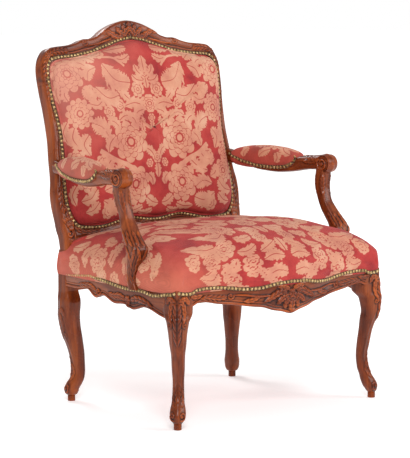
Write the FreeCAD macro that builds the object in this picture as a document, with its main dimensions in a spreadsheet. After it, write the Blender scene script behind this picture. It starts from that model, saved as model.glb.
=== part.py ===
# Upholstered armchair (fauteuil) with a flat raked back, padded arms and cabriole legs.
# Millimetres, +Z up, +X to the sitter's left, the front of the chair towards -Y.
# The origin is on the floor, under the middle of the overall box.

import FreeCAD, Part
import math
import os

from FreeCAD import Placement, Rotation, Vector

doc = FreeCAD.newDocument("Fauteuil")
sheet = doc.addObject("Spreadsheet::Sheet", "Sizes")

sizes = {
    # feet and legs
    "frontFootX": 325.0,
    "frontFootY": -276.0,
    "rearFootX": 273.0,
    "rearFootY": 192.0,
    "pegFootRadius": 9.5,
    "pegFootHeight": 17.0,
    "kneeDrop": 119.0,
    "legRounding": 0.34,
    "legBlockSide": 54.0,
    "legBlockDepth": 69.0,
    "legBlockRounding": 14.0,
    "legBlockEasing": 3.0,
    # seat frame; depths and drops are taken down from the top of the rails
    "seatTopHeight": 345.0,
    "rebateDrop": 25.0,
    "rebateDepth": 6.0,
    "seatCornerX": 339.0,
    "seatFrontY": -290.0,
    "frontBow": 32.0,
    "frontBowHalfWidth": 150.0,
    "frontBowShoulder": 10.0,
    "frontRailThickness": 32.0,
    "frontRailDepth": 93.0,
    "sideRailThickness": 28.0,
    "sideRailBulge": 9.0,
    "sideRailDepth": 81.0,
    "rearRailThickness": 26.0,
    "rearRailDepth": 65.0,
    "rearRailSetback": 6.0,
    "braceHeight": 40.0,
    "braceWidth": 30.0,
    "braceDrop": 12.0,
    # rear posts
    "postWidth": 42.0,
    "postDepth": 36.0,
    "postOuterX": 297.0,
    "postFrontY": 179.0,
    "postRounding": 7.0,
    "postSquareDepth": 63.0,
    "postShoulder": 15.0,
    # back frame, measured in its own raked plane
    "backRake": 12.0,
    "backHingeY": 192.0,
    "backHingeRise": 105.0,
    "frameThickness": 32.0,
    "frameRounding": 6.0,
    "stileOuter": 297.0,
    "stileWaist": 291.0,
    "stileSwell": 303.0,
    "stileWidth": 50.0,
    "stileWaistWidth": 56.0,
    "stileBase": -34.0,
    "crestJoint": 350.0,
    "shoulderHeight": 446.0,
    "crestHeight": 511.0,
    "crestWidth": 79.0,
    "lowerRailBase": -42.0,
    "lowerRailWidth": 61.0,
    "backRebateDepth": 4.0,
    "backRebateInset": 12.0,
    # upholstered field of the back, to its line of nails
    "backFieldHalfWidth": 281.0,
    "backFieldWaist": 266.0,
    "backFieldTop": 462.0,
    "backFieldShoulder": 415.0,
    "backFieldBottom": -15.0,
    # joints
    "tenonThickness": 10.0,
    "tenonInset": 16.0,
    "tenonLength": 26.0,
    "tenonHeight": 40.0,
    "tenonDrop": 49.0,
    "shortTenonLength": 15.0,
    "jointClearance": 0.1,
    "pinRadius": 3.0,
    "pinClearance": 0.05,
    "pinSpacing": 14.0,
    # arms and their supports
    "armRootX": 285.0,
    "armFrontX": 342.0,
    "armFrontY": -94.0,
    "armRise": 246.0,
    "armWidth": 38.0,
    "armThickness": 30.0,
    "voluteRadius": 24.0,
    "voluteWidth": 40.0,
    "voluteEyeRadius": 10.0,
    "voluteEyeDepth": 3.0,
    "armTenonHeight": 22.0,
    "armTenonLength": 18.0,
    "supportTopY": -85.0,
    "supportSweep": 60.0,
    "supportNeck": 29.0,
    "supportSwell": 42.0,
    "supportFoot": 15.0,
    "supportSplay": 10.0,
    # upholstery
    "clothClearance": 0.3,
    "seatOverhang": 2.0,
    "seatPadHeight": 108.0,
    "seatCornerRadius": 24.0,
    "backCrown": 44.0,
    "padRise": 30.0,
    "padWidth": 55.0,
    "padRearY": 194.0,
    "padLength": 198.0,
    "webWidth": 52.0,
    "webThickness": 1.6,
    "seatWebCount": 5.0,
    "backWebCount": 3.0,
    "burlapThickness": 1.2,
    "burlapInset": 3.0,
    "outsideClothThickness": 1.5,
}

for row, (alias, number) in enumerate(sizes.items(), start=1):
    sheet.set("A%d" % row, alias)
    sheet.set("B%d" % row, str(number))
    sheet.setAlias("B%d" % row, alias)
doc.recompute()


def size(alias):
    return float(getattr(sheet, alias))


def bind(item, prop, expression):
    item.setExpression(prop, expression)


parts = []


def finish(item, label):
    item.Label = label
    parts.append(item)
    return item


# Outlines and sections


def smoothEdge(points):
    curve = Part.BSplineCurve()
    curve.interpolate([Vector(*point) for point in points])
    return curve.toShape()


def joinedWire(runs):
    """Two points make a line, three an arc, and more a smooth curve through them all."""
    edges = []
    for run in runs:
        points = [Vector(*point) for point in run]
        if len(points) == 2:
            edges.append(Part.makeLine(*points))
        elif len(points) == 3:
            edges.append(Part.Arc(*points).toShape())
        else:
            edges.append(smoothEdge(run))
    return Part.Wire(edges)


def middleOfTangentArc(start, heading, end):
    """The middle point of the arc from start to end that leaves start along heading, in degrees."""
    chord = math.atan2(end[1] - start[1], end[0] - start[0])
    turn = chord - math.radians(heading)
    half = 0.5 * math.hypot(end[0] - start[0], end[1] - start[1])
    rise = -half * math.tan(turn / 2)
    return (
        (start[0] + end[0]) / 2 - rise * math.sin(chord),
        (start[1] + end[1]) / 2 + rise * math.cos(chord),
    )


def roundedSection(centre, halfA, halfB, radii, along=(Vector(1, 0, 0), Vector(0, 1, 0))):
    """Four lines and four arcs about centre; radii go round from the corner at +a, +b."""
    a, b = along
    limit = 0.97 * min(halfA, halfB)
    corners = [(1, 1), (-1, 1), (-1, -1), (1, -1)]
    arcs = []
    for index, (signA, signB) in enumerate(corners):
        radius = min(radii[index], limit)
        middle = centre + a * (signA * (halfA - radius)) + b * (signB * (halfB - radius))
        turns = [math.radians(90.0 * index + 45.0 * k) for k in range(3)]
        spokes = [a * math.cos(turn) + b * math.sin(turn) for turn in turns]
        arcs.append([middle + spoke * radius for spoke in spokes])
    edges = []
    for index, points in enumerate(arcs):
        edges.append(Part.Arc(*points).toShape())
        edges.append(Part.makeLine(points[2], arcs[(index + 1) % 4][0]))
    return Part.Wire(edges)


def loft(wires):
    return Part.makeLoft(wires, True, False)


def ruledLoft(wires):
    return Part.makeLoft(wires, True, True)


def between(table, place):
    """Straight-line values from a table of rows that start with their place."""
    rows = sorted(table)
    if place <= rows[0][0]:
        return rows[0][1:]
    for low, high in zip(rows, rows[1:]):
        if place <= high[0]:
            share = (place - low[0]) / (high[0] - low[0])
            return tuple(x + share * (y - x) for x, y in zip(low[1:], high[1:]))
    return rows[-1][1:]


# Document objects


def feature(name, shape):
    item = doc.addObject("Part::Feature", name)
    item.Shape = shape
    return item


def block(name, low, spans, frame=None):
    """A box from its low corner, its three sides bound to the sheet."""
    item = doc.addObject("Part::Box", name)
    for side, span in zip(("Length", "Width", "Height"), spans):
        bind(item, side, span)
    own = Placement(Vector(*low), Rotation())
    item.Placement = frame.multiply(own) if frame else own
    return item


def pin(name, start, direction, length, frame=None, clearance=False):
    """A round peg, or its hole, from start along direction."""
    item = doc.addObject("Part::Cylinder", name)
    bind(item, "Radius", "Sizes.pinRadius + Sizes.pinClearance" if clearance else "Sizes.pinRadius")
    item.Height = length
    own = Placement(Vector(*start), Rotation(Vector(0, 0, 1), Vector(*direction)))
    item.Placement = frame.multiply(own) if frame else own
    return item


def cut(name, base, tools):
    item = doc.addObject("Part::Cut", name)
    item.Base = base
    item.Tool = tools[0] if len(tools) == 1 else fuse(name + "Tools", tools)
    return item


def fuse(name, items):
    item = doc.addObject("Part::MultiFuse", name)
    item.Shapes = items
    item.Refine = False
    return item


def mirrored(name, item):
    twin = doc.addObject("Part::Mirroring", name)
    twin.Source = item
    twin.Normal = (1, 0, 0)
    return twin


def bodyWith(name):
    return doc.addObject("PartDesign::Body", name)


def sketchOn(body, role, name, runs, offset=0.0):
    """A sketch of lines, arcs and smooth curves on one of the body's origin planes."""
    sketch = body.newObject("Sketcher::SketchObject", name)
    plane = [item for item in body.Origin.OriginFeatures if item.Role == role][0]
    sketch.AttachmentSupport = [(plane, "")]
    sketch.MapMode = "FlatFace"
    sketch.AttachmentOffset = Placement(Vector(0, 0, offset), Rotation())
    for run in runs:
        points = [Vector(point[0], point[1], 0) for point in run]
        if len(points) == 2:
            sketch.addGeometry(Part.LineSegment(*points))
        elif len(points) == 3:
            sketch.addGeometry(Part.Arc(*points))
        else:
            curve = Part.BSplineCurve()
            curve.interpolate(points)
            sketch.addGeometry(curve)
    return sketch


def padOf(body, name, sketch, length):
    pad = body.newObject("PartDesign::Pad", name)
    pad.Profile = sketch
    bind(pad, "Length", length)
    doc.recompute()
    return pad


def pocketThrough(body, name, sketch, reach):
    """Cuts the sketch's outline through the body on both sides of its plane."""
    before = body.Shape.Volume
    pocket = body.newObject("PartDesign::Pocket", name)
    pocket.Profile = sketch
    pocket.Midplane = True
    pocket.Length = reach
    doc.recompute()
    if not body.Shape.Volume < before:
        raise RuntimeError(name + " cuts nothing")
    return pocket


seatTop = size("seatTopHeight")
rebateZ = seatTop - size("rebateDrop")
kneeZ = seatTop - size("kneeDrop")
hingeZ = seatTop + size("backHingeRise")
armTop = seatTop + size("armRise")
cornerX = size("seatCornerX")
frontY = size("seatFrontY")
blockInnerX = cornerX - size("legBlockSide")
blockInnerY = frontY + size("legBlockSide")
postOuterX = size("postOuterX")
postInnerX = postOuterX - size("postWidth")
postFrontY = size("postFrontY")
postRearY = postFrontY + size("postDepth")
clearance = size("jointClearance")
backFrame = Placement(
    Vector(0, size("backHingeY"), hingeZ),
    Rotation(Vector(1, 0, 0), -size("backRake")),
)


# Plan of the seat: a bowed front, drawn-in wings, square-set legs and bulging sides


def frontRuns(inset, innerX):
    """The front from left to right: wing, bow and wing."""
    half = size("frontBowHalfWidth") - inset / 2
    shoulderY = frontY - size("frontBowShoulder") + inset
    bowY = frontY - size("frontBow") + inset
    depth = shoulderY - bowY
    heading = math.degrees(2 * math.atan2(depth, half))
    wing = middleOfTangentArc((half, shoulderY), heading, (innerX, frontY + inset))
    return [
        [(-innerX, frontY + inset), (-wing[0], wing[1]), (-half, shoulderY)],
        [(-half, shoulderY), (0, bowY), (half, shoulderY)],
        [(half, shoulderY), wing, (innerX, frontY + inset)],
    ]


def sideX(y, inset=0.0):
    """The outer face of the side rails, an even curve from leg to post."""
    share = (y - blockInnerY) / (postFrontY - blockInnerY)
    bulge = 4 * size("sideRailBulge") * share * (1 - share)
    return cornerX + share * (postOuterX - cornerX) + bulge - inset


def seatOutline(inset, z, cornerRadius, rearInset=None):
    innerX = blockInnerX - inset
    x = cornerX - inset
    y = frontY + inset
    rearY = postRearY - (inset if rearInset is None else rearInset)
    rearX = postOuterX - inset
    radius = cornerRadius
    soft = radius * (1 - math.sqrt(0.5))
    rearRadius = 8.0 + max(inset, 0.0) * 0.4
    rearSoft = rearRadius * (1 - math.sqrt(0.5))
    runs = frontRuns(inset, min(innerX, x - radius - 1.0))
    endX = runs[2][-1][0]
    middleY = (y + radius + rearY - rearRadius) / 2
    right = [
        [(endX, y), (x - radius, y)],
        [(x - radius, y), (x - soft, y + soft), (x, y + radius)],
        [(x, y + radius), (sideX(middleY, inset), middleY), (rearX, rearY - rearRadius)],
        [(rearX, rearY - rearRadius), (rearX - rearSoft, rearY - rearSoft), (rearX - rearRadius, rearY)],
    ]
    rear = [[(rearX - rearRadius, rearY), (-rearX + rearRadius, rearY)]]
    left = [[(-px, py) for px, py in reversed(run)] for run in reversed(right)]
    return joinedWire([[(px, py, z) for px, py in run] for run in runs + right + rear + left])


def seatSlab(inset, low, high, cornerRadius):
    face = Part.Face(seatOutline(inset, low, cornerRadius))
    return face.extrude(Vector(0, 0, high - low))


# Outline of the upholstered field of the back, to its line of nails


def backField(inset, w):
    half = size("backFieldHalfWidth")
    waist = size("backFieldWaist")
    top = size("backFieldTop")
    shoulder = size("backFieldShoulder")
    bottom = size("backFieldBottom")
    hump = (61.0, top - 12.0)
    heading = -math.degrees(2 * math.atan2(top - hump[1], hump[0]))
    shoulderEnd = (half - 35.0, shoulder)
    sweep = middleOfTangentArc(hump, heading, shoulderEnd)
    sideTop = (half, shoulder - 40.0)
    sideFoot = (half - 5.0, bottom + 65.0)
    footEnd = (half - 46.0, bottom + 2.0)
    right = [
        [hump, sweep, shoulderEnd],
        [shoulderEnd, (half - 9.0, shoulder - 10.0), sideTop],
        [sideTop, (waist, (sideTop[1] + sideFoot[1]) / 2), sideFoot],
        [sideFoot, (half - 15.0, bottom + 17.0), footEnd],
        [footEnd, (half - 91.0, bottom), (140.0, bottom + 8.0)],
        [(140.0, bottom + 8.0), (80.0, bottom + 18.0), (20.0, bottom + 9.0)],
    ]
    left = [[(-u, v) for u, v in reversed(run)] for run in reversed(right)]
    crown = [[(-hump[0], hump[1]), (0.0, top), hump]]
    dip = [[(20.0, bottom + 9.0), (0.0, bottom + 7.5), (-20.0, bottom + 9.0)]]
    middle = (top + bottom) / 2
    scaleU = 1 - inset / half
    scaleV = 1 - inset / (top - middle)
    runs = crown + right + dip + left
    return joinedWire([[(u * scaleU, w, middle + (v - middle) * scaleV) for u, v in run] for run in runs])


def backSlab(inset, front, rear):
    face = Part.Face(backField(inset, front))
    return face.extrude(Vector(0, rear - front, 0))


# Legs: rows of height as a share of the knee's, reach outwards and reach inwards from the foot

frontLegRows = [
    (0.075, 13.0, 14.0),
    (0.137, 15.0, 22.0),
    (0.205, 9.0, 28.0),
    (0.275, -1.0, 32.0),
    (0.345, -8.0, 37.0),
    (0.482, -12.5, 40.0),
    (0.620, -7.0, 38.0),
    (0.757, -1.0, 34.0),
    (0.894, 9.5, 31.0),
    (1.000, 17.0, 28.0),
    (1.125, 20.0, 34.0),
]

rearLegRows = [
    (0.075, 14.0, 14.0),
    (0.125, 18.5, 19.0),
    (0.200, 12.5, 27.5),
    (0.262, 3.5, 33.0),
    (0.340, -1.0, 35.0),
    (0.434, 0.0, 34.5),
    (0.540, 5.0, 33.5),
    (0.637, 12.0, 31.0),
    (0.735, 21.0, 28.0),
    (0.858, 28.0, 24.0),
    (0.978, 32.0, 23.0),
    (1.100, 31.5, 25.0),
]


def legWires(rows, footX, footY, signY):
    wires = []
    for share, outward, inward in rows:
        width = outward + inward
        half = 0.448 * width
        shift = (outward - inward) / 2 * math.sqrt(0.5)
        centre = Vector(footX + shift, footY + signY * shift, share * kneeZ)
        radius = size("legRounding") * 2 * half
        wires.append(roundedSection(centre, half, half, [radius] * 4))
    return wires


def footPeg(name, x, y):
    peg = doc.addObject("Part::Cylinder", name)
    bind(peg, "Radius", "Sizes.pegFootRadius")
    bind(peg, "Height", "Sizes.pegFootHeight")
    peg.Placement = Placement(Vector(x, y, 0), Rotation())
    return peg


def frontLegBlank():
    """A carved lower leg, a short neck above the knee, and the square block that takes the rails."""
    wires = legWires(frontLegRows, size("frontFootX"), size("frontFootY"), -1)
    base = seatTop - size("legBlockDepth")
    radii = [size("legBlockEasing")] * 3 + [size("legBlockRounding")]
    half = size("legBlockSide") / 2
    square = roundedSection(Vector(cornerX - half, frontY + half, base), half, half, radii)
    ledge = size("rebateDepth") / 2
    inner = half - ledge
    slim = roundedSection(Vector(cornerX - half - ledge, frontY + half + ledge, rebateZ), inner, inner, radii)
    pieces = [
        feature("frontLegCarving", loft(wires)),
        feature("frontLegNeck", ruledLoft([wires[-1], square])),
        feature("frontLegBlock", Part.Face(square).extrude(Vector(0, 0, rebateZ - base))),
        feature("frontLegTop", Part.Face(slim).extrude(Vector(0, 0, seatTop - rebateZ))),
        footPeg("frontFootPeg", size("frontFootX"), size("frontFootY")),
    ]
    return fuse("frontLegBlank", pieces)


def stileRows():
    outer = size("stileOuter")
    waist = size("stileWaist")
    swell = size("stileSwell")
    width = size("stileWidth")
    slim = size("stileWaistWidth")
    base = size("stileBase")
    joint = size("crestJoint")
    run = joint - base
    return [
        (base, outer, width - 1.0),
        (base + 0.10 * run, outer + 0.5 * (swell - outer), width),
        (base + 0.20 * run, swell, width + 6.0),
        (base + 0.35 * run, outer + 0.45 * (swell - outer), width + 5.0),
        (base + 0.50 * run, waist + 2.5, slim),
        (base + 0.65 * run, waist, slim),
        (base + 0.80 * run, waist + 1.5, slim - 3.0),
        (base + 0.93 * run, outer - 1.0, width + 0.5),
        (joint, outer + 0.5, width),
    ]


def stileSection(row, extra=0.0):
    place, outer, width = row
    depth = size("frameThickness")
    centre = Vector(outer - width / 2, depth / 2, place)
    radii = [size("frameRounding")] * 4
    return roundedSection(centre, width / 2 + extra, depth / 2 + extra, radii)


def postSection(z, extra=0.0):
    halfX = size("postWidth") / 2
    halfY = size("postDepth") / 2
    centre = Vector(postOuterX - halfX, postFrontY + halfY, z)
    return roundedSection(centre, halfX + extra, halfY + extra, [size("postRounding")] * 4)


def upperPost(extra=0.0):
    """The square length that takes the seat rails, the bend above it and the raked stile."""
    low = seatTop - size("postSquareDepth")
    high = seatTop + size("postShoulder")
    rows = stileRows()
    joining = stileSection(rows[0], extra)
    joining.Placement = backFrame
    stile = loft([stileSection(row, extra) for row in rows])
    stile.Placement = backFrame
    square = Part.Face(postSection(low, extra)).extrude(Vector(0, 0, high - low))
    return [square, ruledLoft([postSection(high, extra), joining]), stile]


def postBlank():
    wires = legWires(rearLegRows, size("rearFootX"), size("rearFootY"), 1)
    pieces = [feature("rearLegCarving", loft(wires))]
    squareStart = postSection(seatTop - size("postSquareDepth"))
    pieces.append(feature("rearLegNeck", ruledLoft([wires[-1], squareStart])))
    for name, piece in zip(("postSquare", "postBend", "stileMoulding"), upperPost()):
        pieces.append(feature(name, piece))
    pieces.append(footPeg("rearFootPeg", size("rearFootX"), size("rearFootY")))
    return fuse("postBlank", pieces)


# The right-hand post is made first; the left one mirrors it

frontLeg = frontLegBlank()
post = postBlank()


def crestBlank():
    """The crest rail: a serpentine arch with ears that run down to the stiles."""
    joint = size("crestJoint")
    outer = size("stileOuter") + 0.5
    inner = outer - size("stileWidth")
    ear = size("shoulderHeight")
    top = size("crestHeight")
    under = top - size("crestWidth")
    rise = top - ear
    back = [
        (outer, joint),
        (outer, joint + 25.0),
        (outer - 6.0, joint + 62.0),
        (outer - 22.0, ear - 9.0),
        (outer - 50.0, ear),
        (outer - 96.0, ear + 0.06 * rise),
        (outer - 122.0, ear + 0.16 * rise),
        (outer - 163.0, ear + 0.28 * rise),
        (outer - 188.0, ear + 0.40 * rise),
        (outer - 222.0, ear + 0.68 * rise),
        (outer - 258.0, ear + 0.90 * rise),
        (0.0, top),
    ]
    front = [
        (inner, joint),
        (inner - 1.0, joint + 14.0),
        (inner - 8.0, joint + 30.0),
        (inner - 28.0, joint + 37.0),
        (200.0, joint + 39.0),
        (150.0, joint + 46.0),
        (100.0, joint + 59.0),
        (61.0, under - 12.0),
        (0.0, under),
    ]
    outline = [
        [(-u, v) for u, v in back] + [(u, v) for u, v in reversed(back[:-1])],
        [(outer, joint), (inner, joint)],
        front + [(-u, v) for u, v in reversed(front[:-1])],
        [(-inner, joint), (-outer, joint)],
    ]
    body = bodyWith("crestRailBoard")
    sketch = sketchOn(body, "XZ_Plane", "crestOutline", outline)
    board = padOf(body, "crestPad", sketch, "Sizes.frameThickness")
    board.Reversed = True
    doc.recompute()
    return roundedEdges(body, "crestRounding")


def roundedEdges(body, name):
    """Eases the long edges of both faces of a board that lies in the plane of the back."""
    base = body.Tip
    names = []
    longEdge = 120.0
    onFace = 0.01
    for index, edge in enumerate(base.Shape.Edges, start=1):
        first, last = edge.FirstParameter, edge.LastParameter
        ys = [edge.valueAt(first + share * (last - first)).y for share in (0, 0.5, 1)]
        flat = max(ys) - min(ys) < onFace
        outside = abs(ys[0]) < onFace or abs(ys[0] - size("frameThickness")) < onFace
        if flat and outside and edge.Length > longEdge:
            names.append("Edge%d" % index)
    rounding = body.newObject("PartDesign::Fillet", name)
    rounding.Base = (base, names)
    bind(rounding, "Radius", "Sizes.frameRounding")
    doc.recompute()
    body.Placement = backFrame
    return body


def lowerRailBlank():
    """The lower back rail, wavy below and above, long enough to run into both stiles."""
    base = size("lowerRailBase")
    top = base + size("lowerRailWidth")
    reach = size("stileOuter") - size("stileWidth") + 6.0
    under = [(reach, base + 2.0), (212.0, base), (160.0, base + 6.0), (120.0, base + 12.0)]
    under += [(82.0, base + 16.0), (50.0, base + 15.0), (0.0, base + 7.0)]
    over = [(reach, top), (200.0, top), (150.0, top + 4.0), (80.0, top + 11.0), (0.0, top + 7.0)]
    outline = [
        under + [(-u, v) for u, v in reversed(under[:-1])],
        [(-reach, base + 2.0), (-reach, top)],
        [(-u, v) for u, v in over] + [(u, v) for u, v in reversed(over[:-1])],
        [(reach, top), (reach, base + 2.0)],
    ]
    body = bodyWith("lowerRailBoard")
    sketch = sketchOn(body, "XZ_Plane", "lowerRailOutline", outline)
    board = padOf(body, "lowerRailPad", sketch, "Sizes.frameThickness")
    board.Reversed = True
    doc.recompute()
    return roundedEdges(body, "lowerRailRounding")


crest = crestBlank()
lowerRail = lowerRailBlank()


# Seat rails


def frontRailBlank():
    low = seatTop - size("frontRailDepth")
    thickness = size("frontRailThickness")
    body = bodyWith("frontRailBoard")
    bowY = frontY - size("frontBow")
    for name, inset, offset, height in (
        ("Apron", 0.0, low, "Sizes.frontRailDepth - Sizes.rebateDrop"),
        ("Rebate", size("rebateDepth"), rebateZ, "Sizes.rebateDrop"),
    ):
        front = frontRuns(inset, blockInnerX)
        behind = frontY + thickness
        inside = [(blockInnerX, behind), (0.0, bowY + thickness), (-blockInnerX, behind)]
        ends = [[front[-1][-1], inside[0]], [inside[-1], front[0][0]]]
        sketch = sketchOn(body, "XY_Plane", "frontRail" + name, front + [ends[0], inside, ends[1]], offset)
        padOf(body, "frontRail" + name + "Pad", sketch, height)
    half = blockInnerX + 5.0
    wave = [(0.0, 0.0), (24.0, 5.0), (52.0, 10.0), (84.0, 20.0), (120.0, 25.0), (170.0, 32.0), (215.0, 38.0)]
    wave += [(250.0, 45.0), (272.0, 44.0), (half, 38.0)]
    right = [(x, low + rise) for x, rise in wave]
    edge = [(-x, z) for x, z in reversed(right[1:])] + right
    deep = low - 20.0
    runs = [edge, [edge[-1], (half, deep)], [(half, deep), (-half, deep)], [(-half, deep), edge[0]]]
    sketch = sketchOn(body, "XZ_Plane", "frontRailWave", runs)
    pocketThrough(body, "frontRailScallop", sketch, 800.0)
    return body


def sideRailBlank():
    """The right side rail: an upright board with a bulging face and a scalloped lower edge."""
    low = seatTop - size("sideRailDepth")
    thickness = size("sideRailThickness")
    body = bodyWith("sideRailBoard")
    middleY = (blockInnerY + postFrontY) / 2
    for name, inset, offset, height in (
        ("Apron", 0.0, low, "Sizes.sideRailDepth - Sizes.rebateDrop"),
        ("Rebate", size("rebateDepth"), rebateZ, "Sizes.rebateDrop"),
    ):
        outside = [(sideX(y, inset), y) for y in (blockInnerY, middleY, postFrontY)]
        inside = [(sideX(y, thickness), y) for y in (postFrontY, middleY, blockInnerY)]
        runs = [outside, [outside[-1], inside[0]], inside, [inside[-1], outside[0]]]
        sketch = sketchOn(body, "XY_Plane", "sideRail" + name, runs, offset)
        padOf(body, "sideRail" + name + "Pad", sketch, height)
    run = postFrontY - blockInnerY
    wave = [(0.0, 1.0), (0.10, 14.0), (0.17, 15.5), (0.285, 6.5), (0.35, 13.5), (0.465, 13.0), (0.585, 25.0)]
    wave += [(0.66, 17.0), (0.74, 31.0), (0.87, 30.0), (1.0, 28.0)]
    edge = [(blockInnerY + share * run, low + rise) for share, rise in wave]
    edge[0] = (blockInnerY - 5.0, edge[0][1])
    edge[-1] = (postFrontY + 5.0, edge[-1][1])
    deep = low - 20.0
    start, end = edge[0], edge[-1]
    runs = [edge, [end, (end[0], deep)], [(end[0], deep), (start[0], deep)], [(start[0], deep), start]]
    sketch = sketchOn(body, "YZ_Plane", "sideRailWave", runs)
    pocketThrough(body, "sideRailScallop", sketch, 900.0)
    return body


frontRail = frontRailBlank()
sideRail = sideRailBlank()

rearRailY = postRearY - size("rearRailSetback") - size("rearRailThickness")
rearRail = block(
    "rearRailBoard",
    (-postInnerX, rearRailY, seatTop - size("rearRailDepth")),
    ("2 * (Sizes.postOuterX - Sizes.postWidth)", "Sizes.rearRailThickness", "Sizes.rearRailDepth"),
)

# Mortise and tenon joints: each mortise is its tenon with a clearance all round


def tenonAndMortise(name, low, spans, frame=None):
    tenon = block(name + "Tenon", low, spans, frame)
    grown = tuple(span + " + 2 * Sizes.jointClearance" for span in spans)
    mortise = block(name + "Mortise", tuple(value - clearance for value in low), grown, frame)
    return tenon, mortise


seated = 2.0
tenonLow = seatTop - size("tenonDrop")
inset = size("tenonInset")
thick = size("tenonThickness")
frontTenon, frontMortise = tenonAndMortise(
    "frontRail",
    (blockInnerX - seated, frontY + inset, tenonLow),
    ("Sizes.tenonLength + 2", "Sizes.tenonThickness", "Sizes.tenonHeight"),
)
sideFrontTenon, sideFrontMortise = tenonAndMortise(
    "sideRailFront",
    (cornerX - inset - thick, blockInnerY - size("tenonLength"), tenonLow),
    ("Sizes.tenonThickness", "Sizes.tenonLength + 2", "Sizes.tenonHeight"),
)
sideRearTenon, sideRearMortise = tenonAndMortise(
    "sideRailRear",
    (postOuterX - inset - thick, postFrontY - seated, tenonLow),
    ("Sizes.tenonThickness", "Sizes.shortTenonLength + 2", "Sizes.tenonHeight"),
)
rearTenonY = postRearY - size("rearRailSetback") - 5.0 - thick
rearTenon, rearMortise = tenonAndMortise(
    "rearRail",
    (postInnerX - seated, rearTenonY, tenonLow),
    ("Sizes.tenonLength + 2", "Sizes.tenonThickness", "Sizes.tenonHeight"),
)
stileInner = size("stileOuter") - size("stileWidth")
frameMiddle = (size("frameThickness") - thick) / 2
lowerTenonBase = size("lowerRailBase") + 12.0
lowerTenon, lowerMortise = tenonAndMortise(
    "lowerRail",
    (stileInner - 8.0, frameMiddle, lowerTenonBase),
    ("Sizes.tenonLength + 8", "Sizes.tenonThickness", "Sizes.tenonHeight"),
    backFrame,
)
crestTenonU = stileInner + 13.0
crestTenon, crestMortise = tenonAndMortise(
    "crestRail",
    (crestTenonU, frameMiddle, size("crestJoint") - seated),
    ("Sizes.stileWidth - 2 * 13", "Sizes.tenonThickness", "Sizes.tenonLength + 2"),
    backFrame,
)

# Arms


armSections = [
    (0.0, 568.0, 601.0, 34.0),
    (27.0, 566.0, 600.0, 36.0),
    (52.0, 565.0, 598.0, 37.0),
    (78.0, 561.0, 598.0, 38.0),
    (110.0, 556.0, 587.0, 38.0),
    (152.0, 553.0, 583.0, 38.0),
    (202.0, 556.0, 586.0, 37.0),
    (252.0, 565.0, 593.0, 35.0),
    (292.0, 570.0, 602.0, 33.0),
    (342.0, 573.0, 612.0, 34.0),
]
armSweep = [
    (0.0, 1.0),
    (27.0, 0.98),
    (52.0, 0.92),
    (102.0, 0.78),
    (152.0, 0.62),
    (202.0, 0.46),
    (252.0, 0.28),
    (292.0, 0.10),
    (342.0, 0.0),
]


def armX(y):
    """The arm's middle line in plan: it leaves the stile and spreads towards the hand."""
    share = between(armSweep, y - size("armFrontY"))[0]
    return size("armRootX") + share * (size("armFrontX") - size("armRootX"))


def armLoft(extra=0.0):
    upright = (Vector(1, 0, 0), Vector(0, 0, 1))
    lift = armTop - 591.0
    swell = size("armWidth") - 38.0
    slack = size("armThickness") - 30.0
    wires = []
    for behind, low, high, width in armSections:
        y = size("armFrontY") + behind
        centre = Vector(armX(y), y, (low + high) / 2 + lift)
        halfHeight = (high - low + slack) / 2 + extra
        radii = [9.0, 9.0, 11.0, 11.0]
        wires.append(roundedSection(centre, (width + swell) / 2 + extra, halfHeight, radii, upright))
    return loft(wires)


def drum(name, radius, width, x, y, z):
    item = doc.addObject("Part::Cylinder", name)
    bind(item, "Radius", radius)
    bind(item, "Height", width)
    item.Placement = Placement(Vector(x, y, z), Rotation(Vector(0, 0, 1), Vector(1, 0, 0)))
    return item


handX = size("armFrontX")
handY = size("armFrontY")
handZ = armTop - 8.0
eyeReach = size("voluteWidth") / 2 + size("voluteEyeDepth")
armWood = feature("armCarving", armLoft())
voluteStart = handX - size("voluteWidth") / 2
volute = drum("armVolute", "Sizes.voluteRadius", "Sizes.voluteWidth", voluteStart, handY, handZ)
eyeWidth = "Sizes.voluteWidth + 2 * Sizes.voluteEyeDepth"
voluteEye = drum("armVoluteEye", "Sizes.voluteEyeRadius", eyeWidth, handX - eyeReach, handY, handZ)
armRootV = (armTop - hingeZ) / math.cos(math.radians(size("backRake")))


def behindBack(front):
    """The space behind the face of the back, round the root of the arm."""
    reach = 3 * size("armWidth")
    low = Vector(size("armRootX") - reach, front, armRootV - reach)
    return Part.makeBox(2 * reach, reach, 2 * reach, low)


behindFace = feature("behindBackFace", behindBack(0.0))
behindFace.Placement = backFrame
armBlank = cut("armBlank", fuse("armWithVolute", [armWood, volute, voluteEye]), [behindFace])

armTenonV = armRootV - size("armTenonHeight") / 2
armTenon, armMortise = tenonAndMortise(
    "arm",
    (size("armRootX") - thick / 2, -seated, armTenonV),
    ("Sizes.tenonThickness", "Sizes.armTenonLength + 2", "Sizes.armTenonHeight"),
    backFrame,
)

# Arm supports: an S that sweeps forward over the side rail and flicks in at its foot

# rows of drop below the arm's top, share of the sweep, side and share of the splay

supportRows = [
    (-11.0, 0.00, 32.0, 0.90),
    (-31.0, 0.00, 34.0, 0.70),
    (-56.0, 0.01, 32.0, 0.30),
    (-97.0, 0.20, 29.0, 0.00),
    (-123.0, 0.43, 34.0, 0.25),
    (-143.0, 0.66, 38.0, 0.60),
    (-159.0, 0.87, 41.0, 0.75),
    (-175.0, 1.00, 42.0, 0.75),
    (-190.0, 0.98, 35.0, 0.72),
    (-205.0, 0.80, 24.5, 0.65),
    (-221.0, 0.69, 18.0, 0.50),
    (-238.0, 0.66, 15.0, 0.42),
    (-254.0, 0.74, 15.0, 0.40),
    (-271.0, 0.86, 15.0, 0.40),
]


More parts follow.
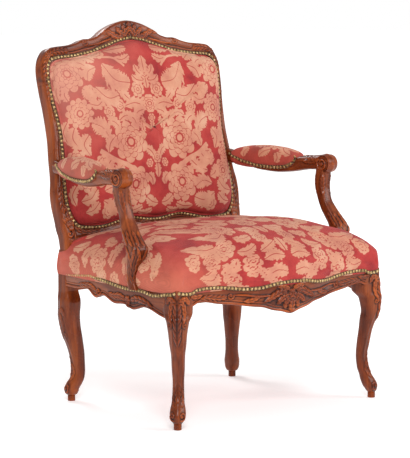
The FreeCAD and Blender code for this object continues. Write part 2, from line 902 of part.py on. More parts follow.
def supportSide(side):
    """Swells, necks and foot keep their own named sizes."""
    neck, swell, foot = size("supportNeck"), size("supportSwell"), size("supportFoot")
    if side >= 29.0:
        return neck + (side - 29.0) / 13.0 * (swell - neck)
    return foot + (side - 15.0) / 14.0 * (neck - foot)


def supportLoft(extra=0.0):
    wires = []
    stretch = (rebateZ - armTop) / supportRows[-1][0]
    for drop, sweep, side, splay in supportRows:
        x = size("armFrontX") - size("supportSplay") * (1.1 - splay)
        y = size("supportTopY") - sweep * size("supportSweep")
        half = supportSide(side) / 2
        centre = Vector(x, y, armTop + stretch * drop)
        wires.append(roundedSection(centre, half + extra, half + extra, [0.36 * half * 2] * 4))
    return loft(wires)


supportWood = feature("supportCarving", supportLoft())
supportTenon, supportMortise = tenonAndMortise(
    "support",
    (handX - thick / 2, size("supportTopY") - 9.0, armTop - 30.0),
    ("Sizes.tenonThickness", "18", "16"),
)
footY = size("supportTopY") - 0.78 * size("supportSweep")
footTenon, footMortise = tenonAndMortise(
    "supportFoot",
    (sideX(footY, size("rebateDepth")) - 12.0, footY - 5.0, rebateZ + 4.0),
    ("14", "Sizes.tenonThickness", "12"),
)
supportBlank = cut("supportShoulders", supportWood, [armBlank, sideRail])

# Wooden pegs, and the holes for them

pinLow = tenonLow + 6.0


def pinPair(name, start, direction, length):
    """Two pegs one above the other, and their two holes."""
    pins = []
    holes = []
    for index in range(2):
        place = (start[0], start[1], pinLow + index * size("pinSpacing"))
        pins.append(pin("%sPin%d" % (name, index), place, direction, length))
        holes.append(pin("%sHole%d" % (name, index), place, direction, length, clearance=True))
    return pins, holes


legPinY = blockInnerY - size("tenonLength") / 2
legPinX = blockInnerX + size("tenonLength") / 2
frontPins, frontHoles = pinPair("frontJoint", (legPinX, frontY + 1.0, 0), (0, 1, 0), inset + thick + 8.0)
sidePins, sideHoles = pinPair("sideJoint", (cornerX - 1.0, legPinY, 0), (-1, 0, 0), inset + thick + 6.0)
postPinY = postFrontY + size("shortTenonLength") / 2
postPins, postHoles = pinPair("postJoint", (postOuterX - 1.0, postPinY, 0), (-1, 0, 0), inset + thick + 3.0)
rearPinX = postInnerX + 10.0
rearPins, rearHoles = pinPair("rearJoint", (rearPinX, postRearY - 1.0, 0), (0, -1, 0), thick + 10.0)

frameStart = size("backRebateDepth") + 0.5
frameReach = size("frameThickness") - 2 * frameStart
lowerPinU = stileInner + 12.0
crestPinU = stileInner + size("stileWidth") / 2
framePlaces = [
    (lowerPinU, frameStart, lowerTenonBase + 10.0),
    (lowerPinU, frameStart, lowerTenonBase + 10.0 + size("pinSpacing")),
    (crestPinU, frameStart, size("crestJoint") + 14.0),
]
framePins = [
    pin("framePin%d" % index, place, (0, 1, 0), frameReach, backFrame)
    for index, place in enumerate(framePlaces)
]
frameHoles = [
    pin("frameHole%d" % index, place, (0, 1, 0), frameReach, backFrame, clearance=True)
    for index, place in enumerate(framePlaces)
]
armPinPlace = (size("stileWaist") + 1.0, size("armTenonLength") / 2, armTenonV + size("armTenonHeight") / 2)
armPinReach = size("stileWaist") - size("armRootX") + thick / 2 + 8.0
armPin = pin("armRootPin", armPinPlace, (-1, 0, 0), armPinReach, backFrame)
armHole = pin("armRootHole", armPinPlace, (-1, 0, 0), armPinReach, backFrame, clearance=True)
handPinPlace = (handX + 17.0, size("supportTopY"), armTop - 22.0)
handPin = pin("armHandPin", handPinPlace, (-1, 0, 0), 34.0)
handHole = pin("armHandHole", handPinPlace, (-1, 0, 0), 34.0, clearance=True)

# Rebates of the back frame, for the webbing in front and the outside cloth behind


def rebateTool(name, inset, front, rear):
    tool = feature(name, backSlab(inset, front, rear))
    tool.Placement = backFrame
    return tool


rebateInset = size("backRebateInset")
rearRebateFront = size("frameThickness") - size("backRebateDepth")
frontRebate = rebateTool("frontRebate", rebateInset, -3.0, size("backRebateDepth"))
rearRebate = rebateTool("rearRebate", rebateInset, rearRebateFront, size("frameThickness") + 3.0)

# The wooden pieces

frontLegRight = cut("frontLegRight", frontLeg, [frontMortise, sideFrontMortise] + frontHoles + sideHoles)
postRight = cut(
    "postRightCut",
    fuse("postWithTenon", [post, crestTenon]),
    [frontRebate, rearRebate, sideRearMortise, rearMortise, lowerMortise, armMortise]
    + postHoles
    + rearHoles
    + frameHoles
    + [armHole],
)
finish(frontLegRight, "front_leg_right")
finish(mirrored("frontLegLeft", frontLegRight), "front_leg_left")
finish(postRight, "back_post_right")
finish(mirrored("postLeft", postRight), "back_post_left")


def bothSides(name, items):
    """The given right-hand tools and their left-hand twins."""
    return items + [mirrored("%sLeft%d" % (name, index), item) for index, item in enumerate(items)]


crestTools = [frontRebate, rearRebate] + bothSides("crestJoint", [crestMortise, frameHoles[2]])
crestRail = cut("crestRail", crest, crestTools)
finish(crestRail, "crest_rail")

postLeftBlank = mirrored("postLeftBlank", post)
lowerShoulders = cut("lowerRailShoulders", lowerRail, [post, postLeftBlank])
lowerWithTenons = fuse("lowerRailWithTenons", [lowerShoulders] + bothSides("lowerTenon", [lowerTenon]))
lowerTools = [frontRebate, rearRebate] + bothSides("lowerHole", frameHoles[:2])
lowerBackRail = cut("lowerBackRail", lowerWithTenons, lowerTools)
finish(lowerBackRail, "lower_back_rail")

frontWithTenons = fuse("frontRailWithTenons", [frontRail] + bothSides("frontTenon", [frontTenon]))
frontSeatRail = cut("frontSeatRail", frontWithTenons, bothSides("frontHole", frontHoles))
finish(frontSeatRail, "front_seat_rail")

sideWithTenons = fuse("sideRailWithTenons", [sideRail, sideFrontTenon, sideRearTenon])
sideSeatRail = cut("sideSeatRail", sideWithTenons, [footMortise] + sideHoles + postHoles)
finish(sideSeatRail, "side_seat_rail_right")
finish(mirrored("sideSeatRailLeft", sideSeatRail), "side_seat_rail_left")

rearWithTenons = fuse("rearRailWithTenons", [rearRail] + bothSides("rearTenon", [rearTenon]))
rearSeatRail = cut("rearSeatRail", rearWithTenons, bothSides("rearHole", rearHoles))
finish(rearSeatRail, "rear_seat_rail")

armWithTenon = fuse("armWithTenon", [armBlank, armTenon])
armRight = cut("armRight", armWithTenon, [supportMortise, armHole, handHole])
finish(armRight, "arm_right")
finish(mirrored("armLeft", armRight), "arm_left")

supportWithTenons = fuse("supportWithTenons", [supportBlank, supportTenon, footTenon])
supportRight = cut("supportRight", supportWithTenons, [handHole])
finish(supportRight, "arm_support_right")
finish(mirrored("supportLeft", supportRight), "arm_support_left")


def corner(name, tip, inwardY, fitted):
    """A batten across a corner of the seat frame, sawn to fit the rails and the leg."""
    width = size("braceWidth") * math.sqrt(2)
    reach = 75.0
    tipX, tipY = tip
    low = seatTop - size("braceDrop") - size("braceHeight")
    points = [
        (tipX - reach, tipY - inwardY * reach),
        (tipX + reach, tipY + inwardY * reach),
        (tipX + reach, tipY + inwardY * (reach + width)),
        (tipX - reach, tipY - inwardY * (reach - width)),
    ]
    body = bodyWith(name + "Board")
    runs = [[points[i], points[(i + 1) % 4]] for i in range(4)]
    sketch = sketchOn(body, "XY_Plane", name + "Outline", runs, low)
    padOf(body, name + "Pad", sketch, "Sizes.braceHeight")
    for index, neighbour in enumerate(fitted):
        body = cut("%sFit%d" % (name, index), body, [neighbour])
    return body


def outsideSeatShape(inset):
    """The space round the inside of the seat frame, as deep as the rails."""
    reach = 1.4 * cornerX
    low = seatTop - size("frontRailDepth")
    around = Part.makeBox(2 * reach, 2 * reach, seatTop - low, Vector(-reach, -reach, low))
    return around.cut(seatSlab(inset, low - 1.0, seatTop + 1.0, size("legBlockRounding")))


outsideSeat = feature("outsideSeat", outsideSeatShape(20.0))
frontBrace = corner("frontBrace", (blockInnerX, blockInnerY), 1, [outsideSeat, frontRail, sideRail, frontLeg])
rearBrace = corner("rearBrace", (postInnerX, postFrontY), -1, [outsideSeat, rearRail, sideRail, post])
finish(frontBrace, "front_corner_brace_right")
finish(mirrored("frontBraceLeft", frontBrace), "front_corner_brace_left")
finish(rearBrace, "rear_corner_brace_right")
finish(mirrored("rearBraceLeft", rearBrace), "rear_corner_brace_left")

seatPins = frontPins + sidePins + postPins + rearPins


def group(name, label, items):
    item = doc.addObject("Part::Compound", name)
    item.Links = bothSides(name, items)
    return finish(item, label)


group("seatFramePegs", "seat_frame_pegs", seatPins)
group("backFramePegs", "back_frame_pegs", framePins)
group("armPegs", "arm_pegs", [armPin, handPin])

# Upholstery

cloth = size("clothClearance")
webbing = size("webThickness")
burlap = size("burlapThickness")


def strips(count, start, end):
    pitch = (end - start) / count
    return [start + (index + 0.5) * pitch for index in range(int(count))]


def lattice(bounds, count, web, outline):
    """Two crossing layers of webbing strips, trimmed to the frame that they are tacked to."""
    lowA, highA, lowB, highB = bounds
    half = size("webWidth") / 2
    pieces = []
    for a in strips(count, lowA, highA):
        pieces.append(web(a - half, lowB, 2 * half, highB - lowB, 0))
    for b in strips(count, lowB, highB):
        pieces.append(web(lowA, b - half, highA - lowA, 2 * half, 1))
    joined = pieces[0].fuse(pieces[1:])
    return joined.common(outline)


def grownPost(extra):
    """Room for the posts through the upholstery, on both sides."""
    solids = []
    for piece in upperPost(extra):
        solids.append(piece)
        solids.append(piece.mirror(Vector(0, 0, 0), Vector(1, 0, 0)))
    return solids


def grownSupport(extra):
    piece = supportLoft(extra)
    return [piece, piece.mirror(Vector(0, 0, 0), Vector(1, 0, 0))]


room = grownPost(cloth + 0.5) + grownSupport(cloth + 0.5)
rearLimit = postRearY - size("rearRailSetback")


def seatWebbing():
    layer = webbing / 2

    def web(x, y, width, depth, level):
        return Part.makeBox(width, depth, layer, Vector(x, y, seatTop + level * layer))

    outline = seatSlab(size("rebateDepth") + size("burlapInset") - 4.0, seatTop - 1.0, seatTop + 5.0, 20.0)
    bounds = (-cornerX + 30.0, cornerX - 30.0, frontY - 6.0, rearLimit - 4.0)
    shape = lattice(bounds, size("seatWebCount"), web, outline)
    return shape.cut(room)


def seatBurlap():
    low = seatTop + webbing
    sheetOf = seatSlab(size("rebateDepth") + size("burlapInset"), low, low + burlap, 22.0)
    return sheetOf.cut(room)


finish(feature("seatWebbing", seatWebbing()), "seat_webbing")
finish(feature("seatBurlap", seatBurlap()), "seat_burlap")


def seatCushion():
    """Skirt nailed above the ledge, sides that swell over the rails, and a low crown."""
    over = size("seatOverhang")
    rise = size("seatPadHeight")
    radius = size("seatCornerRadius")
    rows = [
        (rebateZ + cloth, -over, radius - 8.0, -over),
        (seatTop, -over - 3.0, radius - 2.0, -over - 1.0),
        (seatTop + 0.25 * rise, -over - 3.5, radius + 4.0, -over),
        (seatTop + 0.42 * rise, 4.0, radius + 14.0, 12.0),
        (seatTop + 0.55 * rise, 16.0, radius + 30.0, 36.0),
        (seatTop + 0.67 * rise, 36.0, radius + 52.0, 66.0),
        (seatTop + 0.80 * rise, 72.0, radius + 70.0, 112.0),
        (seatTop + 0.93 * rise, 118.0, radius + 50.0, 150.0),
        (seatTop + rise, 165.0, radius + 16.0, 190.0),
    ]
    wires = [seatOutline(inset, z, corner, rear) for z, inset, corner, rear in rows]
    skirt, shoulder, top = wires[:4], wires[3:7], wires[6:]
    pad = loft(skirt).fuse([loft(shoulder), loft(top)])
    floor = seatTop + webbing + burlap + cloth
    frame = seatSlab(size("rebateDepth") - cloth, rebateZ - 5.0, floor, size("legBlockRounding"))
    return pad.cut([frame] + room)


finish(feature("seatCushion", seatCushion()), "seat_cushion")


def backWebbing():
    layer = webbing / 2
    floor = size("backRebateDepth")

    def web(u, v, width, height, level):
        return Part.makeBox(width, layer, height, Vector(u, floor - (level + 1) * layer, v))

    outline = backSlab(rebateInset + 1.0, -1.0, floor + 1.0)
    half = size("backFieldHalfWidth") - 10.0
    bounds = (-half, half, size("backFieldBottom") + 2.0, size("backFieldTop") - 20.0)
    return lattice(bounds, size("backWebCount"), web, outline)


def placedOnBack(name, label, shape):
    item = feature(name, shape)
    item.Placement = backFrame
    return finish(item, label)


placedOnBack("backWebbing", "back_webbing", backWebbing())
burlapRear = size("backRebateDepth") - webbing
placedOnBack("backBurlap", "back_burlap", backSlab(rebateInset + 1.5, burlapRear - burlap, burlapRear))
outsideRear = rearRebateFront + size("outsideClothThickness")
placedOnBack("outsideCloth", "back_outside_cloth", backSlab(rebateInset + 0.5, rearRebateFront, outsideRear))


def backCushion():
    """A boxed pad: steep sides that hide the nails' far side, then a low crown."""
    crown = size("backCrown")
    rows = [
        (0.0, -5.0),
        (0.20, -6.0),
        (0.38, -3.0),
        (0.54, 4.0),
        (0.70, 17.0),
        (0.85, 42.0),
        (0.95, 85.0),
        (1.0, 140.0),
    ]
    wires = [backField(inset, -cloth - share * crown) for share, inset in rows]
    border, shoulder, middle = wires[:3], wires[2:6], wires[5:]
    pad = loft(border).fuse([loft(shoulder), loft(middle)])
    arms = []
    for side in (1, -1):
        arm = armLoft(cloth) if side > 0 else armLoft(cloth).mirror(Vector(0, 0, 0), Vector(1, 0, 0))
        arm.Placement = backFrame.inverse().multiply(arm.Placement)
        arms.append(arm)
    return pad.cut(arms)


placedOnBack("backCushion", "back_cushion", backCushion())

padSections = [
    (0.00, 568.0, 604.0, 40.0),
    (0.09, 564.0, 612.0, 47.0),
    (0.25, 561.0, 619.0, 52.0),
    (0.50, 560.0, 621.0, 55.0),
    (0.72, 560.0, 618.0, 54.0),
    (0.90, 563.0, 612.0, 50.0),
    (1.00, 568.0, 605.0, 44.0),
]


def armPad():
    """A saddle over the arm: rounded on top, with sides that wrap down to the nails."""
    upright = (Vector(1, 0, 0), Vector(0, 0, 1))
    lift = armTop + size("padRise") - 621.0
    wider = size("padWidth") - 55.0
    wires = []
    for share, low, high, width in padSections:
        y = size("padRearY") - share * size("padLength")
        half = (width + wider) / 2
        centre = Vector(armX(y), y, (low + high + lift) / 2)
        wires.append(roundedSection(centre, half, (high + lift - low) / 2, [20.0, 20.0, 4.0, 4.0], upright))
    behind = behindBack(-cloth - 0.5)
    behind.Placement = backFrame
    return loft(wires).cut([armLoft(cloth), behind])


padRight = finish(feature("armPadRight", armPad()), "arm_pad_right")
finish(mirrored("armPadLeft", padRight), "arm_pad_left")

# Checks, then one file for each piece

doc.recompute()
for item in doc.Objects:
    if "Invalid" in item.State or "Error" in item.State:
        raise RuntimeError("%s is %s" % (item.Name, item.State))
for item in parts:
    shape = item.Shape
    if shape.isNull() or not shape.isValid() or not shape.Solids:
        raise RuntimeError(item.Label + " has no valid solid")

os.makedirs("parts", exist_ok=True)
for item in parts:
    item.Shape.exportStep("parts/%s.step" % item.Label)
print("wrote %d pieces" % len(parts))
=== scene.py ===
# Carved walnut armchair in red damask: the looks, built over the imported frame
import math
import bpy
import numpy as np
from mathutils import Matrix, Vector


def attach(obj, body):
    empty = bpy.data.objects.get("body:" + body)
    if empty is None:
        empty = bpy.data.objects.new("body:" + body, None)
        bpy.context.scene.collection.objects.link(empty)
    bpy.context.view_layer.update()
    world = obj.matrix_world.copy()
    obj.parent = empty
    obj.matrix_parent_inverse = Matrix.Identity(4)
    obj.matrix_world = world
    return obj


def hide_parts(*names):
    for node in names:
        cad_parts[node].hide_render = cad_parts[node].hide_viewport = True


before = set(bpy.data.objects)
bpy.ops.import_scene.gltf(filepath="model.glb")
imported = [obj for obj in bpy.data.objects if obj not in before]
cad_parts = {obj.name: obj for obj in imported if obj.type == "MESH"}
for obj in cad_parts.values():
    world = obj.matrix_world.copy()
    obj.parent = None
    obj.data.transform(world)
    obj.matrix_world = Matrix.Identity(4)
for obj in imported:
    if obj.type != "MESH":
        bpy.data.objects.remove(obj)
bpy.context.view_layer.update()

# Small tools; every length below is in millimetres until a mesh is made

chair = {
    "backRake": 12.0,
    "backHinge": (192.0, 450.0),  # y and z of the back frame's front face at the hinge line
    "step": 2.2,  # spacing of points over carved wood
}


def deselectAll():
    if bpy.context.object and bpy.context.object.mode != "OBJECT":
        bpy.ops.object.mode_set(mode="OBJECT")
    bpy.ops.object.select_all(action="DESELECT")


def toLinear(code):
    parts = [int(code[i:i + 2], 16) / 255.0 for i in (1, 3, 5)]
    return tuple(c / 12.92 if c <= 0.04045 else ((c + 0.055) / 1.055) ** 2.4 for c in parts) + (1.0,)


# Adds a grid primitive and moves its points; a tube's seam is merged and its ends are filled
def gridPiece(name, points, around=False, capped=False, fields=None, uv=None):
    points = np.asarray(points, float)
    rows, cols = points.shape[:2]
    if around:
        points = np.concatenate([points, points[:, :1]], axis=1)
        fields = {key: np.concatenate([value, value[:, :1]], axis=1) for key, value in (fields or {}).items()}
        cols += 1
    deselectAll()
    bpy.ops.mesh.primitive_grid_add(x_subdivisions=cols - 1, y_subdivisions=rows - 1, size=1.0)
    piece = bpy.context.object
    piece.name = name
    mesh = piece.data
    mesh.vertices.foreach_set("co", (points.reshape(-1, 3) * 0.001).ravel())
    for key, value in (fields or {}).items():
        layer = mesh.attributes.new(key, "FLOAT", "POINT")
        layer.data.foreach_set("value", np.asarray(value, float).ravel())
    if uv is not None:
        if around:
            uv = np.concatenate([uv, uv[:, :1] + [0.0, 1.0]], axis=1) if uv.shape[1] < cols else uv
        corner = np.zeros(len(mesh.loops), int)
        mesh.loops.foreach_get("vertex_index", corner)
        flat = np.asarray(uv, float).reshape(-1, 2)[corner]
        mesh.uv_layers[0].data.foreach_set("uv", flat.ravel())
    if around or capped:
        bpy.ops.object.mode_set(mode="EDIT")
        bpy.ops.mesh.select_all(action="SELECT")
        bpy.ops.mesh.remove_doubles(threshold=0.00002)
        if capped:
            bpy.ops.mesh.select_all(action="DESELECT")
            bpy.ops.mesh.select_mode(type="EDGE")
            bpy.ops.mesh.select_non_manifold(
                extend=False, use_wire=False, use_multi_face=False, use_non_contiguous=False,
            )
            bpy.ops.mesh.fill_holes(sides=0)
        bpy.ops.mesh.select_mode(type="VERT")
        bpy.ops.mesh.select_all(action="SELECT")
        bpy.ops.mesh.normals_make_consistent(inside=False)
        bpy.ops.object.mode_set(mode="OBJECT")
    bpy.ops.object.shade_smooth()
    return piece


def joinPieces(name, pieces):
    deselectAll()
    for piece in pieces:
        piece.select_set(True)
    bpy.context.view_layer.objects.active = pieces[0]
    bpy.ops.object.join()
    pieces[0].name = name
    return pieces[0]


# A copy with its own mesh, turned over to the other side of the chair
def mirrorPiece(name, piece):
    twin = piece.copy()
    twin.data = piece.data.copy()
    twin.name = name
    bpy.context.scene.collection.objects.link(twin)
    count = len(twin.data.vertices)
    place = np.zeros(count * 3)
    twin.data.vertices.foreach_get("co", place)
    place[0::3] *= -1
    twin.data.vertices.foreach_set("co", place)
    deselectAll()
    twin.select_set(True)
    bpy.context.view_layer.objects.active = twin
    bpy.ops.object.mode_set(mode="EDIT")
    bpy.ops.mesh.select_all(action="SELECT")
    bpy.ops.mesh.flip_normals()
    bpy.ops.object.mode_set(mode="OBJECT")
    return twin


def dress(piece, material, nodes=()):
    piece.data.materials.clear()
    piece.data.materials.append(material)
    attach(piece, "root")
    if nodes:
        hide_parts(*nodes)
    return piece


rake = math.radians(chair["backRake"])
hingeY, hingeZ = chair["backHinge"]


# From the back's own plane: u across, w rearwards and v up the rake
def onBack(u, w, v):
    u, w, v = np.broadcast_arrays(np.asarray(u, float), np.asarray(w, float), np.asarray(v, float))
    y = hingeY + w * math.cos(rake) + v * math.sin(rake)
    z = hingeZ + v * math.cos(rake) - w * math.sin(rake)
    return np.stack([u, y, z], axis=-1)


# An even walk along a smooth curve through the points, whatever their number of columns
def smoothLine(line, count):
    line = np.asarray(line, float)
    span = np.linalg.norm(np.diff(line[:, :2], axis=0), axis=1)
    at = np.concatenate([[0], np.cumsum(span)])
    slopes = np.zeros_like(line)
    delta = np.diff(line, axis=0) / np.maximum(span, 1e-9)[:, None]
    for k in range(line.shape[0]):
        if k == 0:
            slopes[k] = delta[0]
        elif k == line.shape[0] - 1:
            slopes[k] = delta[-1]
        else:
            a, b = span[k - 1], span[k]
            slopes[k] = (delta[k - 1] * b + delta[k] * a) / (a + b)
    goal = np.linspace(0, at[-1], count)
    index = np.clip(np.searchsorted(at, goal, side="right") - 1, 0, len(span) - 1)
    h = span[index][:, None]
    t = ((goal - at[index]) / span[index])[:, None]
    h00, h10 = 2 * t ** 3 - 3 * t ** 2 + 1, t ** 3 - 2 * t ** 2 + t
    h01, h11 = -2 * t ** 3 + 3 * t ** 2, t ** 3 - t ** 2
    return h00 * line[index] + h10 * h * slopes[index] + h01 * line[index + 1] + h11 * h * slopes[index + 1]


# Values between the rows of a table without overshoot; each row starts with its place
def steady(table, places):
    table = np.asarray(sorted(table), float)
    x = table[:, 0]
    places = np.asarray(places, float)
    result = []
    for column in range(1, table.shape[1]):
        y = table[:, column]
        d = np.diff(y) / np.diff(x)
        m = np.zeros_like(y)
        m[0], m[-1] = d[0], d[-1]
        for k in range(1, len(y) - 1):
            m[k] = 0.0 if d[k - 1] * d[k] <= 0 else 2 * d[k - 1] * d[k] / (d[k - 1] + d[k])
        index = np.clip(np.searchsorted(x, places, side="right") - 1, 0, len(d) - 1)
        h = x[index + 1] - x[index]
        t = np.clip((places - x[index]) / h, 0, 1)
        result.append(
            (2 * t ** 3 - 3 * t ** 2 + 1) * y[index] + (t ** 3 - 2 * t ** 2 + t) * h * m[index]
            + (-2 * t ** 3 + 3 * t ** 2) * y[index + 1] + (t ** 3 - t ** 2) * h * m[index + 1]
        )
    return result


# Adds one more column, with the same value in every row
def withColumn(table, value):
    return np.concatenate([table, np.full(table.shape[:-1] + (1,), value)], axis=-1)


def blur(field, times=4):
    for _ in range(times):
        field = (field + np.roll(field, 1, 0) + np.roll(field, -1, 0)) / 3
        field = (field + np.roll(field, 1, 1) + np.roll(field, -1, 1)) / 3
    return field


# Crevices come out above one half and ridges below it
def hollowOf(height, times=5, strength=0.6):
    return np.clip(0.5 - strength * (height - blur(height, times)), 0, 1)


# Carving: each tool gives the height of one ornament over flat places (across, along)


# Share along the line, signed distance off it and the line's length
def nearLine(place, line):
    line = np.asarray(line, float)
    span = np.linalg.norm(np.diff(line, axis=0), axis=1)
    at = np.concatenate([[0], np.cumsum(span)])
    best = np.full(place.shape[:-1], 1e9)
    share = np.zeros(place.shape[:-1])
    side = np.ones(place.shape[:-1])
    for k, length in enumerate(span):
        if length < 1e-9:
            continue
        d = (line[k + 1] - line[k]) / length
        rel = place - line[k]
        t = np.clip(rel @ d, 0, length)
        off = rel - t[..., None] * d
        dist = np.linalg.norm(off, axis=-1)
        closer = dist < best
        best = np.where(closer, dist, best)
        share = np.where(closer, (at[k] + t) / at[-1], share)
        side = np.where(closer, np.sign(d[0] * rel[..., 1] - d[1] * rel[..., 0]), side)
    return share, best * side, at[-1]


def stem(place, line, width, height, taper=True):
    share, off, _ = nearLine(place, smoothLine(line, 24))
    wide = width * (np.clip(4 * np.minimum(share, 1 - share), 0, 1) ** 0.6 * 0.8 + 0.2 if taper else 1.0)
    return height * np.sqrt(np.clip(1 - (off / wide) ** 2, 0, 1))


# An acanthus leaf: lobed edges, a sunk midrib and a slanting vein to each lobe
def leaf(place, line, width, height, lobes=6, lean=0.55, base=0.35, notch=0.3):
    share, off, _ = nearLine(place, smoothLine(line, 24))
    body = base + (1 - base) * np.sin(np.pi * np.clip(share, 0, 1) ** 0.8) ** 0.7
    body = body * np.clip((1 - share) * 6, 0, 1) ** 0.6
    phase = lobes * (share + lean * np.abs(off) / (width * 3.0))
    lobe = np.abs(np.sin(np.pi * phase)) ** 0.55
    edge = np.maximum(width * body * (1 - notch + notch * lobe), 0.05)
    out = np.abs(off) / edge
    ends = (share > 0.0005) & (share < 0.9995)
    swell = np.clip(1 - out ** 3, 0, 1) ** 0.5
    vein = 1 - 0.5 * (1 - lobe) * np.clip(out * 2.5, 0, 1)
    rib = 1 - 0.45 * np.exp(-((out / 0.13) ** 2))
    return np.where(ends & (out < 1), height * swell * vein * rib * np.clip(share * 10, 0.3, 1), 0.0)


def flower(place, centre, radius, petals, height, turn=0.0, heart=0.3):
    rel = place - np.asarray(centre, float)
    dist = np.linalg.norm(rel, axis=-1)
    angle = np.arctan2(rel[..., 1], rel[..., 0]) + turn
    petal = np.abs(np.cos(petals * angle / 2))
    reach = radius * (0.62 + 0.38 * petal ** 0.5)
    out = dist / reach
    cup = np.clip(1 - out ** 4, 0, 1) ** 0.5 * (0.55 + 0.45 * np.clip(out, 0, 1))
    split = 1 - 0.55 * np.exp(-((petal / 0.28) ** 2))
    boss = np.sqrt(np.clip(1 - (dist / (heart * radius)) ** 2, 0, 1))
    return height * np.maximum(np.where(out < 1, cup * split, 0.0), boss * 0.95)


# A spiral bead that tapers into its eye
def volute(place, centre, radius, turns, width, height, start=0.0, sense=1):
    t = np.linspace(0, 1, 60)
    angle = math.radians(start) + sense * t * turns * 2 * np.pi
    reach = radius * (1 - 0.86 * t ** 0.85)
    line = np.stack([centre[0] + reach * np.cos(angle), centre[1] + reach * np.sin(angle)], axis=-1)
    share, off, _ = nearLine(place, line)
    wide = width * (1 - 0.55 * share)
    bead = height * np.sqrt(np.clip(1 - (off / wide) ** 2, 0, 1))
    eye = np.linalg.norm(place - np.asarray(centre, float), axis=-1) / (0.22 * radius + 0.5)
    return np.maximum(bead, height * 1.1 * np.sqrt(np.clip(1 - eye ** 2, 0, 1)))


def highest(*fields):
    result = fields[0]
    for field in fields[1:]:
        result = np.maximum(result, field)
    return result


print("tools ready")

# Materials


# Links a socket to another, or sets its value
def feed(tree, value, socket):
    if isinstance(value, bpy.types.NodeSocket):
        tree.links.new(value, socket)
    else:
        socket.default_value = value


# Adds a node; inputs go by name or number, and stops are the places and colours of a ramp
def addNode(tree, kind, inputs=None, stops=(), **settings):
    node = tree.nodes.new(kind)
    for key, value in settings.items():
        setattr(node, key, value)
    if stops:
        elements = node.color_ramp.elements
        while len(elements) < len(stops):
            elements.new(0.5)
        for element, (place, colour) in zip(elements, stops):
            element.position = place
            element.color = toLinear(colour) if isinstance(colour, str) else colour
    for key, value in (inputs or {}).items():
        feed(tree, value, node.inputs[key])
    return node


def newMaterial(name):
    material = bpy.data.materials.new(name)
    material.use_nodes = True
    tree = material.node_tree
    tree.nodes.clear()
    return material, tree, addNode(tree, "ShaderNodeTexCoord")


def shade(material, inputs):
    tree = material.node_tree
    shader = addNode(tree, "ShaderNodeBsdfPrincipled", inputs)
    addNode(tree, "ShaderNodeOutputMaterial", {"Surface": shader.outputs["BSDF"]})
    return material


def field(tree, name):
    return addNode(tree, "ShaderNodeAttribute", attribute_name=name).outputs["Fac"]


def stretched(tree, place, scale):
    inputs = {"Vector": place.outputs["Object"], "Scale": scale}
    return addNode(tree, "ShaderNodeMapping", inputs).outputs["Vector"]


def noise(tree, source, sizeMm, detail, roughness, distortion=0.0):
    inputs = {"Vector": source, "Scale": 1000.0 / sizeMm, "Detail": detail, "Roughness": roughness}
    inputs["Distortion"] = distortion
    return addNode(tree, "ShaderNodeTexNoise", inputs).outputs["Fac"]


# Threads side by side: at scale 1 the texture draws a band every 100 pi millimetres
def threads(tree, source, direction, threadMm, distortion=1.0):
    inputs = {"Vector": source, "Scale": 100.0 * math.pi / threadMm, "Distortion": distortion, "Detail": 1.0}
    wave = addNode(tree, "ShaderNodeTexWave", inputs, wave_type="BANDS", bands_direction=direction)
    return wave.outputs["Fac"]


def ramp(tree, source, stops):
    return addNode(tree, "ShaderNodeValToRGB", {"Fac": source}, stops).outputs["Color"]


def ranged(tree, source, fromMin, fromMax, toMin, toMax):
    limits = {"Value": source, "From Min": fromMin, "From Max": fromMax, "To Min": toMin, "To Max": toMax}
    return addNode(tree, "ShaderNodeMapRange", limits).outputs["Result"]


def mixed(tree, factor, a, b, blend="MIX"):
    node = addNode(tree, "ShaderNodeMix", {0: factor, 6: a, 7: b}, data_type="RGBA", blend_type=blend)
    return node.outputs[2]


def maths(tree, operation, *values):
    return addNode(tree, "ShaderNodeMath", dict(enumerate(values)), operation=operation).outputs[0]


def bumped(tree, height, strength, distance):
    inputs = {"Height": height, "Strength": strength, "Distance": distance}
    return addNode(tree, "ShaderNodeBump", inputs).outputs["Normal"]


walnutLook = {
    "deep": "#4A1B0A",
    "mid": "#7A3616",
    "warm": "#964A1E",
    "across": 26.0,  # the figure is this much narrower across the grain
    "along": 2.2,
    "figureMm": 24.0385,
    "poreMm": 3.4965,  # pores are 0.1 to 0.3 mm wide; drawn coarser so that they show
    "cloudMm": 111.111,
}


